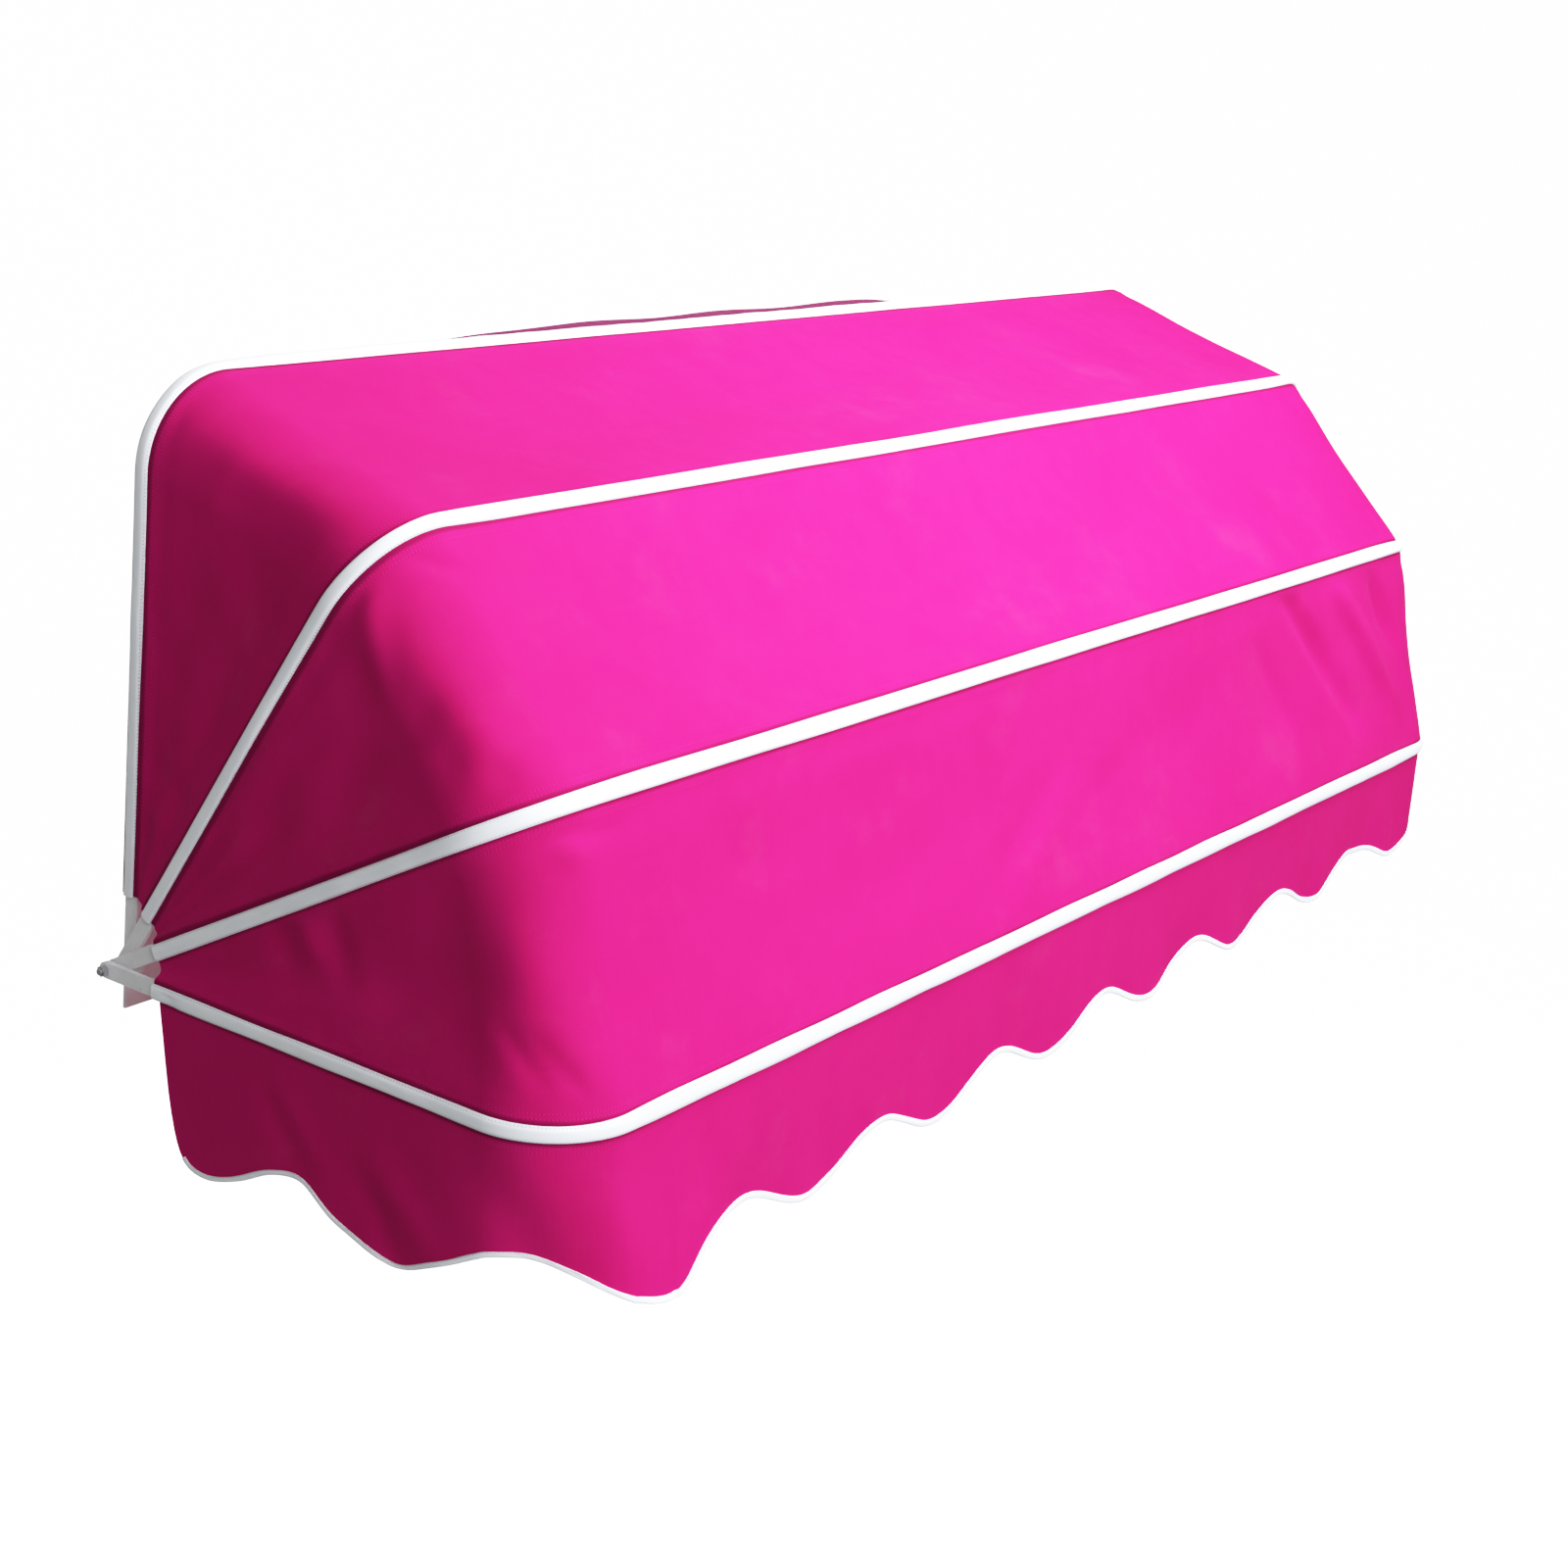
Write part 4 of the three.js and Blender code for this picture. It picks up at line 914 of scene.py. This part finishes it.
# ---------------------------------------------------------------- floor, light and camera
FLOOR_Z = -2.6
quarter = np.linspace(0.08, math.pi / 2, 14)
rings_r = np.concatenate([np.linspace(0.002, 8.0, 14), 8.0 + 4.0 * np.sin(quarter), 12.0 * np.cos(quarter[:-1]), [0.002]])
rings_z = FLOOR_Z + np.concatenate([np.zeros(14), 4.0 * (1 - np.cos(quarter)), 4.0 + 9.0 * np.sin(quarter)])
turn = np.linspace(0, 2 * math.pi, 96, endpoint=False)
count = len(rings_r)
bowl = np.stack(
    [rings_r[:, None] * np.cos(turn), -0.35 + rings_r[:, None] * np.sin(turn), np.broadcast_to(rings_z[:, None], (count, 96))], -1
)
faces = [[i * 96 + j, i * 96 + (j + 1) % 96, (i + 1) * 96 + (j + 1) % 96, (i + 1) * 96 + j] for i in range(count - 1) for j in range(96)]
mesh = bpy.data.meshes.new("studio_floor")
mesh.from_pydata(bowl.reshape(-1, 3).tolist(), [], faces)
mesh.polygons.foreach_set("use_smooth", np.ones(len(mesh.polygons), bool))
pale = Paint("pale_floor")
pale.put(Base_Color=(0.88, 0.88, 0.88, 1), Roughness=0.9, Emission_Color=(1, 1, 1, 1), Emission_Strength=1.6)
mesh.materials.append(pale.material)
floor = bpy.data.objects.new("studio_floor", mesh)
scene.collection.objects.link(floor)
floor.visible_diffuse = False
floor.visible_glossy = False
floor.visible_shadow = False

world = bpy.data.worlds.new("studio")
scene.world = world
world.use_nodes = True
sky = world.node_tree.nodes["Background"]
sky.inputs["Color"].default_value = (0.98, 0.97, 0.96, 1)
sky.inputs["Strength"].default_value = 0.315
# bare metal sees a lighter ceiling than floor, so that it shows its form
tree = world.node_tree
way = tree.nodes.new("ShaderNodeSeparateXYZ")
tree.links.new(tree.nodes.new("ShaderNodeTexCoord").outputs["Generated"], way.inputs[0])
ceiling = tree.nodes.new("ShaderNodeMapRange")
for k, value in ((1, -0.5), (2, 0.8), (3, 0.22), (4, 1.15)):
    ceiling.inputs[k].default_value = value
tree.links.new(way.outputs[2], ceiling.inputs[0])
shine = tree.nodes.new("ShaderNodeBackground")
tree.links.new(ceiling.outputs[0], shine.inputs["Strength"])
both = tree.nodes.new("ShaderNodeMixShader")
tree.links.new(tree.nodes.new("ShaderNodeLightPath").outputs["Is Glossy Ray"], both.inputs[0])
tree.links.new(sky.outputs[0], both.inputs[1])
tree.links.new(shine.outputs[0], both.inputs[2])
tree.links.new(both.outputs[0], tree.nodes["World Output"].inputs["Surface"])


def aim(obj, at, to):
    obj.location = at
    obj.rotation_mode = "QUATERNION"
    obj.rotation_quaternion = (Vector(to) - Vector(at)).to_track_quat("-Z", "Y")
    scene.collection.objects.link(obj)


def area_light(name, at, to, size, power, colour=(1, 1, 1), deep=None):
    data = bpy.data.lights.new(name, "AREA")
    data.shape, data.size, data.size_y = "ELLIPSE", size, deep or size
    data.energy, data.color = power, colour
    lamp = bpy.data.objects.new(name, data)
    lamp.visible_camera = False
    aim(lamp, at, to)


area_light("top", (0.30, -1.12, 2.08), (0.10, -0.35, 0.3), 2.4, 100, (0.97, 0.98, 1.06), 1.2)
area_light("front", (-0.7, -4.6, 1.6), (-0.10, -0.5, 0.25), 2.5, 204, (0.95, 0.98, 1.09))
area_light("left", (-3.0, -3.5, 2.6), (-1.1, -0.4, 0.2), 1.3, 54, (0.98, 0.98, 1.02))
area_light("behind", (0.4, 2.8, -0.9), (0.0, -0.3, 0.3), 1.8, 70, (1.0, 0.99, 0.97))

camera = bpy.data.cameras.new("photo")
camera.sensor_width, camera.lens = 36.0, 59.366
eye = bpy.data.objects.new("photo", camera)
scene.collection.objects.link(eye)
az, el, roll = np.radians([-56.33596, 18.07007, 6.43702])
back = np.array([math.sin(az) * math.cos(el), -math.cos(az) * math.cos(el), math.sin(el)])
right = np.cross(-back, [0, 0, 1])
right /= np.linalg.norm(right)
up = np.cross(right, -back)
right, up = math.cos(roll) * right + math.sin(roll) * up, -math.sin(roll) * right + math.cos(roll) * up
eye.matrix_world = Matrix(
    [
        [right[0], up[0], back[0], -3.068613],
        [right[1], up[1], back[1], -2.189986],
        [right[2], up[2], back[2], 1.226301],
        [0, 0, 0, 1],
    ]
)
camera.clip_start, camera.clip_end = 0.05, 100
scene.camera = eye
scene.view_settings.view_transform = "Standard"
scene.view_settings.use_curve_mapping = True
tone = scene.view_settings.curve_mapping
tone.white_level = (2.5, 2.5, 2.5)
curve = tone.curves[3]
for light, shown in ((0.05, 0.038), (0.10, 0.086), (0.25, 0.242), (0.40, 0.412), (0.52, 0.545), (0.75, 0.695), (0.95, 0.790), (1.10, 0.850), (1.31, 0.912), (1.65, 0.972)):
    curve.points.new(light / 2.5, shown)
tone.update()
